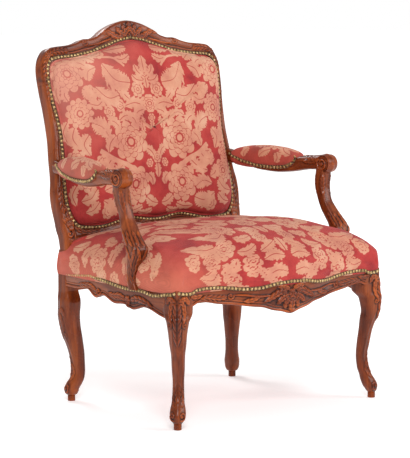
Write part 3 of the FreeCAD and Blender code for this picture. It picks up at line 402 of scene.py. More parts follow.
# Walnut, carved by hand and waxed: darker in the hollows and brighter on the ridges, partly the wax and
# rubbing of the old wood and partly painted shade in the hollows and painted highlight on the ridges
def carvedWalnut(name, grain):
    material, tree, place = newMaterial(name)
    across = walnutLook["across"]
    scale = [walnutLook["along"] if axis == grain else across for axis in "xyz"]
    grained = stretched(tree, place, scale)
    figure = noise(tree, grained, walnutLook["figureMm"] * across, 6.0, 0.62, 0.5)
    pores = noise(tree, grained, walnutLook["poreMm"] * across, 3.0, 0.7)
    cloud = noise(tree, place.outputs["Object"], walnutLook["cloudMm"], 3.0, 0.6)
    deep, mid, warm = walnutLook["deep"], walnutLook["mid"], walnutLook["warm"]
    base = ramp(tree, figure, [(0.28, deep), (0.48, mid), (0.62, warm), (0.8, mid)])
    tone = ramp(tree, cloud, [(0.3, (0.62, 0.55, 0.5, 1)), (0.7, (1.12, 1.08, 1.0, 1))])
    patch = mixed(tree, 0.55, base, tone, "MULTIPLY")
    # Painted shade in the carving's hollows and painted highlight on its ridges, over some real wax and
    # rubbing
    wearAndPaintedLight = ramp(tree, field(tree, "hollow"), [
        (0.1, (1.5, 1.42, 1.35, 1)), (0.42, (1.05, 1.03, 1.0, 1)), (0.52, (0.92, 0.9, 0.88, 1)),
        (0.82, (0.2, 0.15, 0.13, 1)),
    ])
    rubbed = mixed(tree, 1.0, patch, wearAndPaintedLight, "MULTIPLY")
    pore = ramp(tree, pores, [(0.3, (0.55, 0.5, 0.48, 1)), (0.46, (1.0, 1.0, 1.0, 1))])
    return shade(material, {
        "Base Color": mixed(tree, 0.6, rubbed, pore, "MULTIPLY"),
        "Roughness": ranged(tree, cloud, 0.3, 0.7, 0.2, 0.38),
        "Normal": bumped(tree, pores, 0.18, 0.0006),
        "Coat Weight": 0.12,
        "Coat Roughness": 0.2,
        "Specular IOR Level": 0.2,
    })


walnutX = carvedWalnut("walnutGrainAcross", "x")
walnutY = carvedWalnut("walnutGrainDeep", "y")
walnutZ = carvedWalnut("walnutGrainUpright", "z")

beechLook = {"dark": "#7A5634", "light": "#A98253", "across": 30.0, "along": 4.0, "fleckMm": 8.33333}


# Beech left unstained inside the frame, dulled by age
def plainBeech(name):
    material, tree, place = newMaterial(name)
    across = beechLook["across"]
    grained = stretched(tree, place, (beechLook["along"], across, across))
    fleck = noise(tree, grained, beechLook["fleckMm"] * across, 5.0, 0.6)
    return shade(material, {
        "Base Color": ramp(tree, fleck, [(0.3, beechLook["dark"]), (0.7, beechLook["light"])]),
        "Normal": bumped(tree, fleck, 0.2, 0.0008),
        "Roughness": 0.62,
    })


beech = plainBeech("beechPlain")

damaskLook = {
    "ground": "#AE3431",
    "groundDeep": "#8E2427",
    "groundWorn": "#BE4A42",
    "figure": "#CC8C70",
    "figurePale": "#D8A588",
    "figureShade": "#BE735F",
    "threadMm": 0.924,  # silk threads are about 0.2 mm apart; drawn coarser so that they show
    "slubMm": 2.38095,
    "cloudMm": 71.4286,
}


# Silk and linen damask: satin figures float over a ribbed ground, mixed towards a pale colour as a painted
# highlight on the side the key lamp lights, and on the arm pads partly as the cloth's own fading
def damask(name, paleWearAndLightColour):
    material, tree, place = newMaterial(name)
    body = place.outputs["Object"]
    look = damaskLook
    cloud = noise(tree, body, look["cloudMm"], 4.0, 0.6)
    slubs = noise(tree, body, look["slubMm"], 2.0, 0.6)
    ground = ramp(tree, cloud, [(0.3, look["groundDeep"]), (0.5, look["ground"]), (0.75, look["groundWorn"])])
    figure = ramp(tree, cloud, [
        (0.3, look["figureShade"]), (0.5, look["figure"]), (0.72, look["figurePale"]),
    ])
    edge = ranged(tree, field(tree, "motif"), 0.32, 0.62, 0.0, 1.0)
    cloth = mixed(tree, edge, ground, figure)
    # Painted highlight: mixed towards the pale colour on the lit side, partly real fading on the arm pads
    rubbed = mixed(tree, field(tree, "wearAndPaintedLight"), cloth, toLinear(paleWearAndLightColour))
    weft = threads(tree, body, "Z", look["threadMm"], 0.6)
    warp = threads(tree, body, "X", look["threadMm"], 0.6)
    woven = maths(tree, "ADD", maths(tree, "ADD", weft, warp), slubs)
    tint = ranged(tree, woven, 0.4, 2.4, 0.86, 1.12)
    raised = maths(tree, "MULTIPLY_ADD", edge, 1.6, woven)
    return shade(material, {
        "Base Color": mixed(tree, 1.0, rubbed, tint, "MULTIPLY"),
        "Normal": bumped(tree, raised, 0.35, 0.0005),
        "Roughness": ranged(tree, edge, 0.0, 1.0, 0.72, 0.5),
        "Sheen Weight": 0.08,
        "Sheen Roughness": 0.4,
        "Specular IOR Level": 0.25,
    })


# Pale colours for each cloth's painted highlight, partly its fading on the arms
damaskBack = damask("damaskBack", "#DDA58F")
damaskSeat = damask("damaskSeat", "#DDA078")
damaskArm = damask("damaskArm", "#CC9C78")

brassLook = {"rim": "#7A6038", "dome": "#C6A874", "rubbed": "#E6D2A4", "spotMm": 6.25}


# Stamped brass nails, unevenly tarnished
def agedBrass(name):
    material, tree, place = newMaterial(name)
    spots = noise(tree, place.outputs["Object"], brassLook["spotMm"], 3.0, 0.6)
    stops = [(0.3, brassLook["rim"]), (0.55, brassLook["dome"]), (0.75, brassLook["rubbed"])]
    return shade(material, {
        "Base Color": ramp(tree, spots, stops),
        "Roughness": ranged(tree, spots, 0.3, 0.8, 0.55, 0.28),
        "Metallic": 0.9,
    })


brass = agedBrass("brassAged")

braidLook = {"dark": "#3A2618", "mid": "#66492F", "light": "#8A6A48", "cordMm": 8.3776, "spotMm": 4.16667}


# Woven gimp of slanting cords, olive brown with age; U runs along it in centimetres
def gimpBraid(name):
    material, tree, place = newMaterial(name)
    inputs = {"Vector": place.outputs["UV"], "Scale": 2 * math.pi / braidLook["cordMm"]}
    inputs.update({"Distortion": 1.2, "Detail": 2.0})
    cords = addNode(tree, "ShaderNodeTexWave", inputs, wave_type="BANDS", bands_direction="DIAGONAL")
    spots = noise(tree, place.outputs["Object"], braidLook["spotMm"], 3.0, 0.7)
    both = maths(tree, "MULTIPLY", cords.outputs["Fac"], spots)
    stops = [(0.05, braidLook["dark"]), (0.3, braidLook["mid"]), (0.6, braidLook["light"])]
    return shade(material, {
        "Base Color": ramp(tree, both, stops),
        "Normal": bumped(tree, both, 0.6, 0.001),
        "Roughness": 0.75,
    })


braid = gimpBraid("gimpBraid")


# Jute woven plain: thick uneven threads over and under
def jute(name, light, dark, threadMm):
    material, tree, place = newMaterial(name)
    body = place.outputs["Object"]
    both = maths(tree, "MULTIPLY", threads(tree, body, "X", threadMm), threads(tree, body, "Y", threadMm))
    return shade(material, {
        "Base Color": ramp(tree, both, [(0.0, dark), (0.7, light)]),
        "Normal": bumped(tree, both, 0.7, 0.001),
        "Roughness": 0.85,
    })


webMaterial = jute("juteWebbing", "#A98D5F", "#5E4A2C", 2.2)
burlapMaterial = jute("juteBurlap", "#B49A6C", "#5A4830", 1.6)
print("materials ready")

# Plan of the seat


def arcThrough(start, middle, end, count):
    (ax, ay), (bx, by), (cx, cy) = start, middle, end
    d = 2 * (ax * (by - cy) + bx * (cy - ay) + cx * (ay - by))
    if abs(d) < 1e-6:
        t = np.linspace(0, 1, count)[:, None]
        return np.array(start) * (1 - t) + np.array(end) * t
    sa, sb, sc = ax * ax + ay * ay, bx * bx + by * by, cx * cx + cy * cy
    ox = (sa * (by - cy) + sb * (cy - ay) + sc * (ay - by)) / d
    oy = (sa * (cx - bx) + sb * (ax - cx) + sc * (bx - ax)) / d
    radius = math.hypot(ax - ox, ay - oy)
    a0, a1, a2 = (math.atan2(y - oy, x - ox) for x, y in (start, middle, end))
    turn = (a2 - a0) % (2 * math.pi)
    if (a1 - a0) % (2 * math.pi) > turn:
        turn -= 2 * math.pi
    angles = a0 + np.linspace(0, 1, count) * turn
    return np.stack([ox + radius * np.cos(angles), oy + radius * np.sin(angles)], axis=-1)


def straight(start, end, count):
    t = np.linspace(0, 1, count)[:, None]
    return np.array(start, float) * (1 - t) + np.array(end, float) * t


seat = {
    "cornerX": 339.0,
    "frontY": -290.0,
    "bow": 32.0,
    "shoulderX": 150.0,
    "shoulderDrop": 10.0,
    "wingX": 285.0,
    "sideBulge": 9.0,
    "legInnerY": -236.0,
    "postX": 297.0,
    "postFrontY": 179.0,
    "rearY": 215.0,
}


def sideX(y, inset=0.0):
    share = (y - seat["legInnerY"]) / (seat["postFrontY"] - seat["legInnerY"])
    bulge = 4 * seat["sideBulge"] * share * (1 - share)
    return seat["cornerX"] + share * (seat["postX"] - seat["cornerX"]) + bulge - inset


# The serpentine front, from the bow at the middle to the legs
def frontY(x, inset=0.0):
    x = np.abs(np.asarray(x, float))
    deep = seat["bow"] - seat["shoulderDrop"]
    half = seat["shoulderX"]
    radius = (half ** 2 + deep ** 2) / (2 * deep)
    bow = seat["frontY"] - seat["bow"] + radius
    bow = bow - np.sqrt(np.maximum(radius ** 2 - np.minimum(x, half) ** 2, 0))
    share = np.clip((x - half) / (seat["wingX"] - half), 0, 1)
    wing = seat["frontY"] - seat["shoulderDrop"] + seat["shoulderDrop"] * (1 - (1 - share) ** 2.2)
    return np.where(x < half, bow, wing) + inset


# One closed ring of the seat; shares gives the number of points of each run
def seatRing(inset, radius, rearInset, shares):
    x = seat["cornerX"] - inset
    y = seat["frontY"] + inset
    rearY = seat["rearY"] - rearInset
    rearX = seat["postX"] - inset
    soft = radius * (1 - math.sqrt(0.5))
    rearRadius = 8.0 + max(inset, 0.0) * 0.4
    rearSoft = rearRadius * (1 - math.sqrt(0.5))
    across = np.linspace(0, x - radius, shares[0])[:-1]
    front = np.stack([across, frontY(across, inset)], axis=-1)
    bend = arcThrough((x - radius, y), (x - soft, y + soft), (x, y + radius), shares[1])[:-1]
    along = np.linspace(y + radius, rearY - rearRadius, shares[2])[:-1]
    share = (along - (y + radius)) / max(rearY - rearRadius - y - radius, 1.0)
    side = np.stack([x + (rearX - x) * share + 4 * seat["sideBulge"] * share * (1 - share), along], axis=-1)
    rearBend = arcThrough((rearX, rearY - rearRadius), (rearX - rearSoft, rearY - rearSoft),
                          (rearX - rearRadius, rearY), shares[3])[:-1]
    rear = straight((rearX - rearRadius, rearY), (0, rearY), shares[4])
    right = np.concatenate([front, bend, side, rearBend, rear])
    left = right[1:-1][::-1] * [-1, 1]
    return np.concatenate([right, left])


# The back's outline: places of the wood's outer edge and of the line of nails beside it

crestPairs = [
    (297.5, 350, 281, 350), (298, 375, 281, 372), (295, 400, 278, 392), (285, 424, 272, 406),
    (266, 442, 262, 412), (246, 446, 244, 415), (222, 448, 222, 416.5), (201, 450, 202, 418),
    (175, 456, 178, 420.5), (151, 464, 156, 424), (130, 465, 132, 428), (110, 470, 112, 434.5),
    (75, 490, 80, 443), (40, 504, 42, 455), (0, 511, 0, 462),
]
stilePairs = [
    (296, -81, 246, -81), (296, -66, 251, -66), (296, -53, 255, -53), (296, -41, 249, -41),
    (297, -29.6, 249, -29.6), (300, -16.4, 252, -14), (302, 8, 262, 4), (306, 49, 275.5, 49),
    (305, 75.6, 276, 76), (299, 107, 274.5, 107), (295, 164.6, 269, 164), (291, 210.6, 266, 210),
    (291, 245, 268, 245), (292, 275, 271.5, 275), (294, 305.7, 277, 303), (296, 325, 279, 325),
    (297.5, 350, 281, 350),
]
lowerPairs = [
    (262, -42, 262, -3), (247, -40, 250, -9), (220, -42, 224, -13), (190, -40, 194, -15),
    (160, -36, 163, -13.5), (120, -30, 122, -4), (80, -26, 80, 3), (55, -26, 57, 0), (25, -29, 22, -6),
    (0, -35, 0, -7),
]


def mirroredPairs(pairs):
    return list(pairs) + [(-a, b, -c, d) for a, b, c, d in reversed(pairs[:-1])]


backWood = {
    "depth": 32.0,
    "rounding": 7.0,
    "frontPoints": 40,
    "underCushion": 0.3,  # how far the wood runs on under the cushion, as a share of its width
    "mouldings": [(0.27, 0.3, 3.2), (0.68, 0.075, 1.9), (0.85, 0.075, 1.52)],  # middle, half width, rise
}


# A broad rounded band outside, a groove, then two reeds beside the nails
def mouldingRise(share):
    bands = [
        rise * np.sqrt(np.clip(1 - ((share - middle) / half) ** 2, 0, 1))
        for middle, half, rise in backWood["mouldings"]
    ]
    return highest(*bands)


# Wood that follows the back's outline; carve(places) gives the height of its ornament
def ribbon(name, pairs, carve):
    line = np.asarray(pairs, float)
    length = np.linalg.norm(np.diff(line[:, :2], axis=0), axis=1).sum()
    path = smoothLine(line, int(length / chair["step"]) + 1)
    outer, inner = path[:, None, :2], path[:, None, 2:]
    radius = backWood["rounding"]
    count = backWood["frontPoints"]
    width = np.linalg.norm(inner - outer, axis=-1)
    share = np.linspace(0, 1 + backWood["underCushion"], count)[None, :] * np.ones((len(path), 1))
    place = outer + (inner - outer) * share[..., None]
    ornament = carve(place)
    fromEdge = share * width
    shoulder = radius - np.sqrt(radius ** 2 - np.clip(radius - fromEdge, 0, radius) ** 2)
    plain = mouldingRise(share) * np.clip(1 - ornament / 3.0, 0, 1)
    rise = plain + ornament * np.clip(0.35 + fromEdge / 5.0, 0, 1)
    front = shoulder - rise
    edge = (inner - outer) / np.maximum(width, 1e-6)[..., None]
    turns = np.radians(np.linspace(0, 90, 6))
    sideRows = [radius + (backWood["depth"] - 2 * radius) * k for k in (0.0, 0.33, 0.66, 1.0)]
    lastPlace = place[:, -1:]
    pieces = [np.concatenate([place, front[..., None]], axis=-1)]
    pieces += [withColumn(lastPlace, backWood["depth"] * 0.5), withColumn(lastPlace, backWood["depth"])]
    rearSpan = 1 + backWood["underCushion"]
    for k in (0.75, 0.5, 0.25):
        pieces.append(withColumn(outer + (inner - outer) * rearSpan * k, backWood["depth"]))
    for turn in turns:
        rear = backWood["depth"] - radius * (1 - math.cos(turn))
        pieces.append(withColumn(outer + edge * radius * (1 - math.sin(turn)), rear))
    for row in reversed(sideRows[:-1]):
        pieces.append(withColumn(outer, row))
    flat = np.concatenate(pieces, axis=1)
    points = onBack(flat[..., 0], flat[..., 2], flat[..., 1])
    tone = np.full(flat.shape[:2], 0.5)
    tone[:, :count] = hollowOf(rise, 5, 0.42)
    return gridPiece(name, points, around=True, capped=True, fields={"hollow": tone})


# Ornament is laid out on the right and mirrored
def bothHalves(place):
    return np.stack([np.abs(place[..., 0]), place[..., 1]], axis=-1)


def crestCarving(place):
    p = bothHalves(place)
    return highest(
        leaf(p, [(0, 478), (0, 492), (0, 507)], 11, 8.0, lobes=3),
        leaf(p, [(4, 474), (16, 488), (22, 500)], 8.5, 6.5, lobes=3),
        leaf(p, [(8, 470), (28, 478), (44, 492)], 9, 6.0, lobes=4),
        leaf(p, [(18, 466), (44, 468), (72, 480), (96, 474)], 9, 5.5, lobes=6),
        stem(p, [(60, 462), (88, 456), (112, 450), (140, 447)], 3.0, 4.0),
        volute(p, (0, 474), 9, 0.9, 2.4, 5.0),
        volute(p, (151, 455), 9.5, 1.3, 2.4, 5.0, start=200),
        leaf(p, [(205, 434), (232, 436), (256, 432), (274, 421)], 10, 6.0, lobes=6),
        leaf(p, [(287, 362), (289, 384), (284, 406), (270, 424)], 8, 5.5, lobes=6),
        flower(p, (274, 424), 9.5, 6, 6.5),
        stem(p, [(289, 300), (288, 330), (288, 358)], 2.4, 3.0),
    )


def stileCarving(place):
    p = bothHalves(place)
    fan = []
    for k in (-1, 0, 1, 2, 3):
        line = [(272 + 1.5 * k, -22), (274 + 5.0 * k, 2), (272 + 9.0 * k, 22 - 1.2 * k * k)]
        fan.append(leaf(p, line, 5.5, 5.5, lobes=3))
    return highest(
        leaf(p, [(289, 300), (288, 330), (289, 366)], 6, 4.5, lobes=5),
        leaf(p, [(281, 262), (280, 240), (279, 205)], 6.5, 3.2, lobes=5),
        leaf(p, [(290, 20), (294, 46), (293, 72), (287, 100)], 9, 5.5, lobes=6),
        leaf(p, [(285, -8), (279, 20), (284, 46)], 7, 4.5, lobes=4),
        volute(p, (281, -28), 13, 1.2, 2.8, 5.5, start=90),
        leaf(p, [(276, -40), (274, -58), (272, -80)], 12, 5.0, lobes=4),
        *fan,
    )


def lowerCarving(place):
    p = bothHalves(place)
    return highest(
        leaf(p, [(262, -14), (238, -27), (206, -28), (178, -25)], 9, 5.0, lobes=6),
        stem(p, [(180, -25), (140, -20), (100, -14), (60, -14)], 2.6, 2.6),
        flower(p, (0, -20), 9, 8, 5.0),
        leaf(p, [(8, -19), (28, -16), (52, -11)], 7, 4.0, lobes=4),
    )


crestPiece = ribbon("crestRailCarved", mirroredPairs(crestPairs), crestCarving)
lowerPiece = ribbon("lowerRailCarved", mirroredPairs(lowerPairs), lowerCarving)
dress(crestPiece, walnutX, ["crest_rail"])
dress(lowerPiece, walnutX, ["lower_back_rail"])
stileRight = ribbon("stileRight", stilePairs, stileCarving)
print("back frame ready")

# Ring lofts: legs, arm supports and arms share one way of making a carved bar


def squircle(angle, power):
    return 1.0 / (np.abs(np.cos(angle)) ** power + np.abs(np.sin(angle)) ** power) ** (1.0 / power)


# Rings about a line of centres; carve gives the height of the ornament round each ring
def barPiece(name, centres, halves, power, carve, count, frames=None):
    centres = np.asarray(centres, float)
    rows = len(centres)
    halves = np.asarray(halves, float).reshape(rows, -1)
    if halves.shape[1] == 1:
        halves = np.repeat(halves, 2, axis=1)
    power = np.broadcast_to(np.asarray(power, float), (rows,))[:, None]
    angle = np.linspace(0, 2 * np.pi, count, endpoint=False)[None, :] * np.ones((rows, 1))
    radial = squircle(angle, power)
    a, b = frames if frames is not None else (np.array([1.0, 0, 0]), np.array([0, 1.0, 0]))
    a, b = np.broadcast_to(a, (rows, 3)), np.broadcast_to(b, (rows, 3))
    height = carve(angle, centres, halves)
    ca, sb = np.cos(angle) * radial, np.sin(angle) * radial
    out = a[:, None, :] * (halves[:, :1] * ca)[..., None] + b[:, None, :] * (halves[:, 1:] * sb)[..., None]
    length = np.maximum(np.linalg.norm(out, axis=-1, keepdims=True), 1e-6)
    points = centres[:, None, :] + out * (1 + height[..., None] / length)
    fields = {"hollow": hollowOf(np.concatenate([height, height[:, :1]], axis=1), 4, 0.42)[:, :-1]}
    return gridPiece(name, points, around=True, capped=True, fields=fields)


# Cabriole legs

frontLegRows = [
    (15.0, 10.0, 10.0), (18.0, 12.5, 13.0), (24.0, 14.5, 17.0), (31.0, 15.5, 22.0), (38.0, 13.5, 25.0),
    (46.3, 9.0, 28.0), (62.2, -1.0, 32.0), (78.0, -8.0, 37.0), (108.9, -12.5, 40.0), (140.1, -7.0, 38.0),
    (171.1, -1.0, 34.0), (202.0, 9.5, 31.0), (226.0, 17.0, 28.0), (254.3, 20.0, 34.0),
]
rearLegRows = [
    (15.0, 10.0, 10.0), (17.0, 14.0, 14.0), (28.3, 18.5, 19.0), (45.2, 12.5, 27.5), (59.2, 3.5, 33.0),
    (76.8, -1.0, 35.0), (98.1, 0.0, 34.5), (122.0, 5.0, 33.5), (144.0, 12.0, 31.0), (166.1, 21.0, 28.0),
    (193.9, 28.0, 24.0), (221.0, 32.0, 23.0), (248.6, 31.5, 25.0),
]
leg = {
    "frontFoot": (325.0, -276.0),
    "rearFoot": (273.0, 192.0),
    "blockCentre": (312.0, -263.0),
    "blockHalf": 27.0,
    "topZ": 332.0,
    "pegRadius": 9.5,
    "step": 2.0,
    "toeZ": 33.0,
    "pegHeight": 17.0,
}


# Centre, half width and squareness at each height, from the rows and the square part above them
def legLine(rows, foot, signY, extra):
    table = []
    for z, outward, inward in rows:
        width = outward + inward
        shift = (outward - inward) / 2 * math.sqrt(0.5)
        table.append((z, foot[0] + shift, foot[1] + signY * shift, 0.448 * width, 0.448 * width, 3.0))
    table += extra
    places = np.arange(table[0][0], table[-1][0] + 0.1, leg["step"])
    x, y, halfA, halfB, power = steady(table, places)
    centres = np.stack([x, y, places], axis=-1)
    return centres, np.stack([halfA, halfB], axis=-1), power


# Leaves fall from the corner of the seat down the outer ridge, and scrolls turn at the toe
def kneeCarving(corner, leafTop, leafFoot, depth=4.5):

    def carve(angle, centres, halves):
        z = centres[:, 2][:, None] * np.ones_like(angle)
        away = (angle - corner + np.pi) % (2 * np.pi) - np.pi
        across = away * (halves[:, :1] + halves[:, 1:]) * 0.62
        p = np.stack([across, z], axis=-1)
        m = np.stack([np.abs(across), z], axis=-1)
        ridge = 1.6 * np.exp(-((across / 5.0) ** 2)) * np.clip((z - 60) / 40, 0, 1)
        sides = np.exp(-(((np.abs(across) - 17) / 3.0) ** 2))
        sides = sides * np.clip((z - 80) / 40, 0, 1) * np.clip((300 - z) / 30, 0, 1)
        fall = [(3, leafTop), (15, leafTop - 14), (21, leafTop - 38), (17, leafTop - 62)]
        return highest(
            ridge,
            sides,
            leaf(p, [(0, leafTop), (0, (leafTop + leafFoot) / 2), (0, leafFoot)], 13, depth, lobes=7),
            leaf(m, fall, 8, depth * 0.9, lobes=5),
            leaf(m, [(8, leafTop - 4), (26, leafTop - 2), (38, leafTop - 16)], 8, depth * 0.8, lobes=4),
            volute(m, (23, leafTop - 62), 9, 1.2, 2.4, depth * 0.8, start=100),
            leaf(p, [(0, 62), (0, 88), (0, 118)], 9, 2.6, lobes=5),
            leaf(m, [(14, 52), (16, 72), (10, 96)], 6, 2.2, lobes=4),
            volute(m, (15, leg["toeZ"]), 12, 1.2, 2.6, 3.2, start=250),
        )

    return carve


def pegFoot(name, place):
    deselectAll()
    high = leg["pegHeight"] * 0.001
    bpy.ops.mesh.primitive_cylinder_add(vertices=40, radius=leg["pegRadius"] * 0.001, depth=high,
                                        location=(place[0] * 0.001, place[1] * 0.001, high / 2))
    peg = bpy.context.object
    peg.name = name
    bpy.ops.object.mode_set(mode="EDIT")
    bpy.ops.mesh.select_all(action="SELECT")
    bpy.ops.mesh.bevel(offset=0.0012, segments=2)
    bpy.ops.object.mode_set(mode="OBJECT")
    bpy.ops.object.transform_apply(location=True)
    bpy.ops.object.shade_smooth()
    return peg


blockX, blockY = leg["blockCentre"]
half = leg["blockHalf"]
frontExtra = [
    (276.0, blockX + 0.5, blockY - 0.5, half + 0.5, half + 0.5, 6.0),
    (300.0, blockX, blockY, half, half, 8.0),
    (leg["topZ"], blockX, blockY, half, half, 8.0),
]
centres, halves, power = legLine(frontLegRows, leg["frontFoot"], -1, frontExtra)
frontLeg = barPiece("frontLegShaft", centres, halves, power, kneeCarving(-np.pi / 4, 312, 196, 5.5), count=96)
frontLegRight = joinPieces("frontLegRight", [frontLeg, pegFoot("frontPeg", leg["frontFoot"])])
frontLegLeft = mirrorPiece("frontLegLeft", frontLegRight)
dress(frontLegRight, walnutZ, ["front_leg_right"])
dress(frontLegLeft, walnutZ, ["front_leg_left"])

rearExtra = [
    (282.0, 276.0, 197.0, 21.0, 18.0, 6.0),
    (360.0, 276.0, 197.0, 21.0, 18.0, 6.0),
    (384.0, 274.0, 194.0, 22.5, 17.0, 6.0),
]
centres, halves, power = legLine(rearLegRows, leg["rearFoot"], 1, rearExtra)
rearLeg = barPiece("rearLegShaft", centres, halves, power, kneeCarving(np.pi / 4, 232, 150, 2.0), count=80)
postRight = joinPieces("backPostRight", [stileRight, rearLeg, pegFoot("rearPeg", leg["rearFoot"])])
postLeft = mirrorPiece("backPostLeft", postRight)
dress(postRight, walnutZ, ["back_post_right"])
dress(postLeft, walnutZ, ["back_post_left"])
print("legs ready")

# Seat rails: a bead follows the scalloped edge, and ornament stands on the face

rail = {
    "topZ": 332.0,
    "facePoints": 44,
    "thickness": 30.0,
    "beadWidth": 7.2,
    "beadRise": 3.2,
    "filletAt": 10.5,  # above the lower edge
    "filletWidth": 4.4,
    "filletRise": 1.4,
    "bulge": 3.0,
}
frontWave = [
    (0, 251), (30, 258), (60, 264), (81, 271), (116, 276), (167, 284), (213, 290), (250, 297),
    (269, 298), (290, 290), (300, 288),
]
sideWave = [
    (179, 293), (123, 294), (76, 298), (38, 281), (6, 290), (-42, 277), (-92, 278), (-118, 270), (-166, 280),
    (-236, 264), (-246, 262),
]


# outside and inside give the plan at each station; lowEdge is the line of the lower edge
def railPiece(name, stations, outside, inside, lowEdge, carve):
    count = rail["facePoints"]
    share = np.linspace(0, 1, count)[None, :]
    low = np.interp(stations, lowEdge[:, 0], lowEdge[:, 1])[:, None]
    z = low + (rail["topZ"] - low) * share
    place = np.stack([stations[:, None] * np.ones_like(z), z], axis=-1)
    above = z - low
    beadHalf, filletHalf = rail["beadWidth"] / 2, rail["filletWidth"] / 2
    bead = rail["beadRise"] * np.sqrt(np.clip(1 - ((above - beadHalf) / beadHalf) ** 2, 0, 1))
    second = rail["filletRise"] * np.sqrt(np.clip(1 - ((above - rail["filletAt"]) / filletHalf) ** 2, 0, 1))
    belly = rail["bulge"] * np.sin(np.pi * np.clip((above - 6) / (rail["topZ"] - low), 0, 1))
    ornament = carve(place)
    rise = highest(bead, second) + ornament + belly
    direction = outside - inside
    direction = direction / np.linalg.norm(direction, axis=-1, keepdims=True)
    face = outside[:, None, :] + direction[:, None, :] * (rise - rail["bulge"])[..., None]
    top = withColumn(inside[:, None, :], rail["topZ"])
    middle = np.concatenate([(inside * 0.5 + outside * 0.5)[:, None, :], low[..., None] + 1.0], axis=-1)
    rearLow = np.concatenate([inside[:, None, :], low[..., None] + 4.0], axis=-1)
    grid = np.concatenate([np.concatenate([face, z[..., None]], axis=-1), top, rearLow, middle], axis=1)
    # The rail's top, back and underside get a darker hollow value: a little painted shade
    tone = np.full(grid.shape[:2], 0.55)
    tone[:, :count] = hollowOf(highest(bead, second) + ornament, 5, 0.42)
    return gridPiece(name, grid, around=True, capped=True, fields={"hollow": tone})


def frontCarving(place):
    p = bothHalves(place)
    return highest(
        flower(p, (0, 300), 13, 6, 8.0),
        leaf(p, [(0, 290), (0, 274), (0, 254)], 12, 7.0, lobes=4),
        leaf(p, [(6, 292), (18, 280), (22, 264)], 8, 6.0, lobes=4),
        leaf(p, [(10, 298), (30, 290), (46, 276)], 9, 6.0, lobes=5),
        leaf(p, [(12, 306), (34, 306), (60, 296), (84, 284)], 9, 5.5, lobes=6),
        leaf(p, [(6, 310), (22, 318), (44, 318)], 7, 5.0, lobes=4),
        stem(p, [(60, 300), (100, 300), (140, 306), (170, 308)], 2.8, 3.6),
        volute(p, (176, 306), 9, 1.3, 2.4, 4.2, start=180),
        leaf(p, [(96, 300), (118, 292), (140, 290)], 7, 4.0, lobes=4),
        leaf(p, [(184, 304), (214, 304), (244, 308), (268, 306)], 8, 4.4, lobes=6),
        leaf(p, [(300, 316), (278, 312), (258, 316)], 6, 3.4, lobes=3),
    )


def sideCarving(place):
    p = place
    return highest(
        flower(p, (-104, 292), 11, 6, 5.5),
        leaf(p, [(-112, 292), (-140, 298), (-172, 294), (-200, 284)], 9, 5.0, lobes=6),
        leaf(p, [(-96, 292), (-70, 298), (-44, 296), (-20, 302)], 8.5, 4.6, lobes=6),
        volute(p, (22, 299), 10, 1.3, 2.6, 4.4, start=200),
        leaf(p, [(32, 300), (56, 308), (88, 308), (120, 306)], 7.5, 4.0, lobes=6),
        leaf(p, [(-104, 286), (-104, 280), (-106, 272)], 7, 4.0, lobes=3),
    )


across = np.arange(-296, 296.1, 2.2)
outside = np.stack([across, frontY(across)], axis=-1)
inside = np.stack([across * 0.97, frontY(across, rail["thickness"])], axis=-1)
lowEdge = smoothLine([(-x, z) for x, z in reversed(frontWave[1:])] + frontWave, 400)
frontRailPiece = railPiece("frontRailCarved", across, outside, inside, lowEdge, frontCarving)
dress(frontRailPiece, walnutX, ["front_seat_rail"])

along = np.arange(-246, 184.1, 2.2)
outside = np.stack([sideX(along), along], axis=-1)
inside = np.stack([sideX(along, 28.0), along], axis=-1)
lowEdge = smoothLine(sorted(sideWave), 300)
sideRight = railPiece("sideRailRight", along, outside, inside, lowEdge, sideCarving)
sideLeft = mirrorPiece("sideRailLeft", sideRight)
dress(sideRight, walnutY, ["side_seat_rail_right"])
dress(sideLeft, walnutY, ["side_seat_rail_left"])
print("rails ready")

# Arms and their supports

armRows = [  # y, low, top, width
    (-94.0, 568.0, 604.0, 36.0), (-67.0, 566.0, 600.0, 36.0), (-42.0, 565.0, 598.0, 37.0),
    (-16.0, 561.0, 598.0, 38.0), (16.0, 556.0, 587.0, 38.0), (58.0, 553.0, 583.0, 38.0),
    (108.0, 556.0, 586.0, 37.0), (158.0, 565.0, 593.0, 35.0), (198.0, 570.0, 602.0, 33.0),
    (222.0, 572.0, 607.0, 34.0),
]
armSpread = [
    (-94.0, 1.0), (-67.0, 0.98), (-42.0, 0.92), (8.0, 0.78), (58.0, 0.62), (108.0, 0.46), (158.0, 0.28),
    (198.0, 0.10), (248.0, 0.0),
]
arm = {
    "rootX": 285.0,
    "handX": 342.0,
    "handY": -94.0,
    "handZ": 583.0,
    "voluteRadius": 24.0,
    "voluteHalf": 20.0,
    "voluteTurns": 1.6,
    "voluteSpokes": 88,
}


def armX(y):
    return arm["rootX"] + steady(armSpread, y)[0] * (arm["handX"] - arm["rootX"])


def armCarving(angle, centres, halves):
    y = centres[:, 1][:, None] * np.ones_like(angle)
    away = (angle - np.pi / 2 + np.pi) % (2 * np.pi) - np.pi
    across = away * halves[:, :1] * 1.25
    p = np.stack([np.abs(across), y], axis=-1)
    lines = 0.9 * np.exp(-(((np.abs(across) - 27) / 2.4) ** 2))
    return highest(
        lines,
        leaf(p, [(0, -96), (0, -66), (0, -20)], 12, 4.0, lobes=7),
        leaf(p, [(6, -92), (18, -70), (20, -40)], 8, 3.4, lobes=5),
        leaf(p, [(22, -86), (30, -60), (30, -30)], 8, 3.0, lobes=5),
    )


places = np.arange(-94.0, 222.1, 2.0)
low, top, width = steady(armRows, places)
centres = np.stack([armX(places), places, (low + top) / 2], axis=-1)
halves = np.stack([width / 2, (top - low) / 2], axis=-1)
upright = (np.array([1.0, 0, 0]), np.array([0, 0, 1.0]))
armShaft = barPiece("armShaft", centres, halves, 3.2, armCarving, count=72, frames=upright)


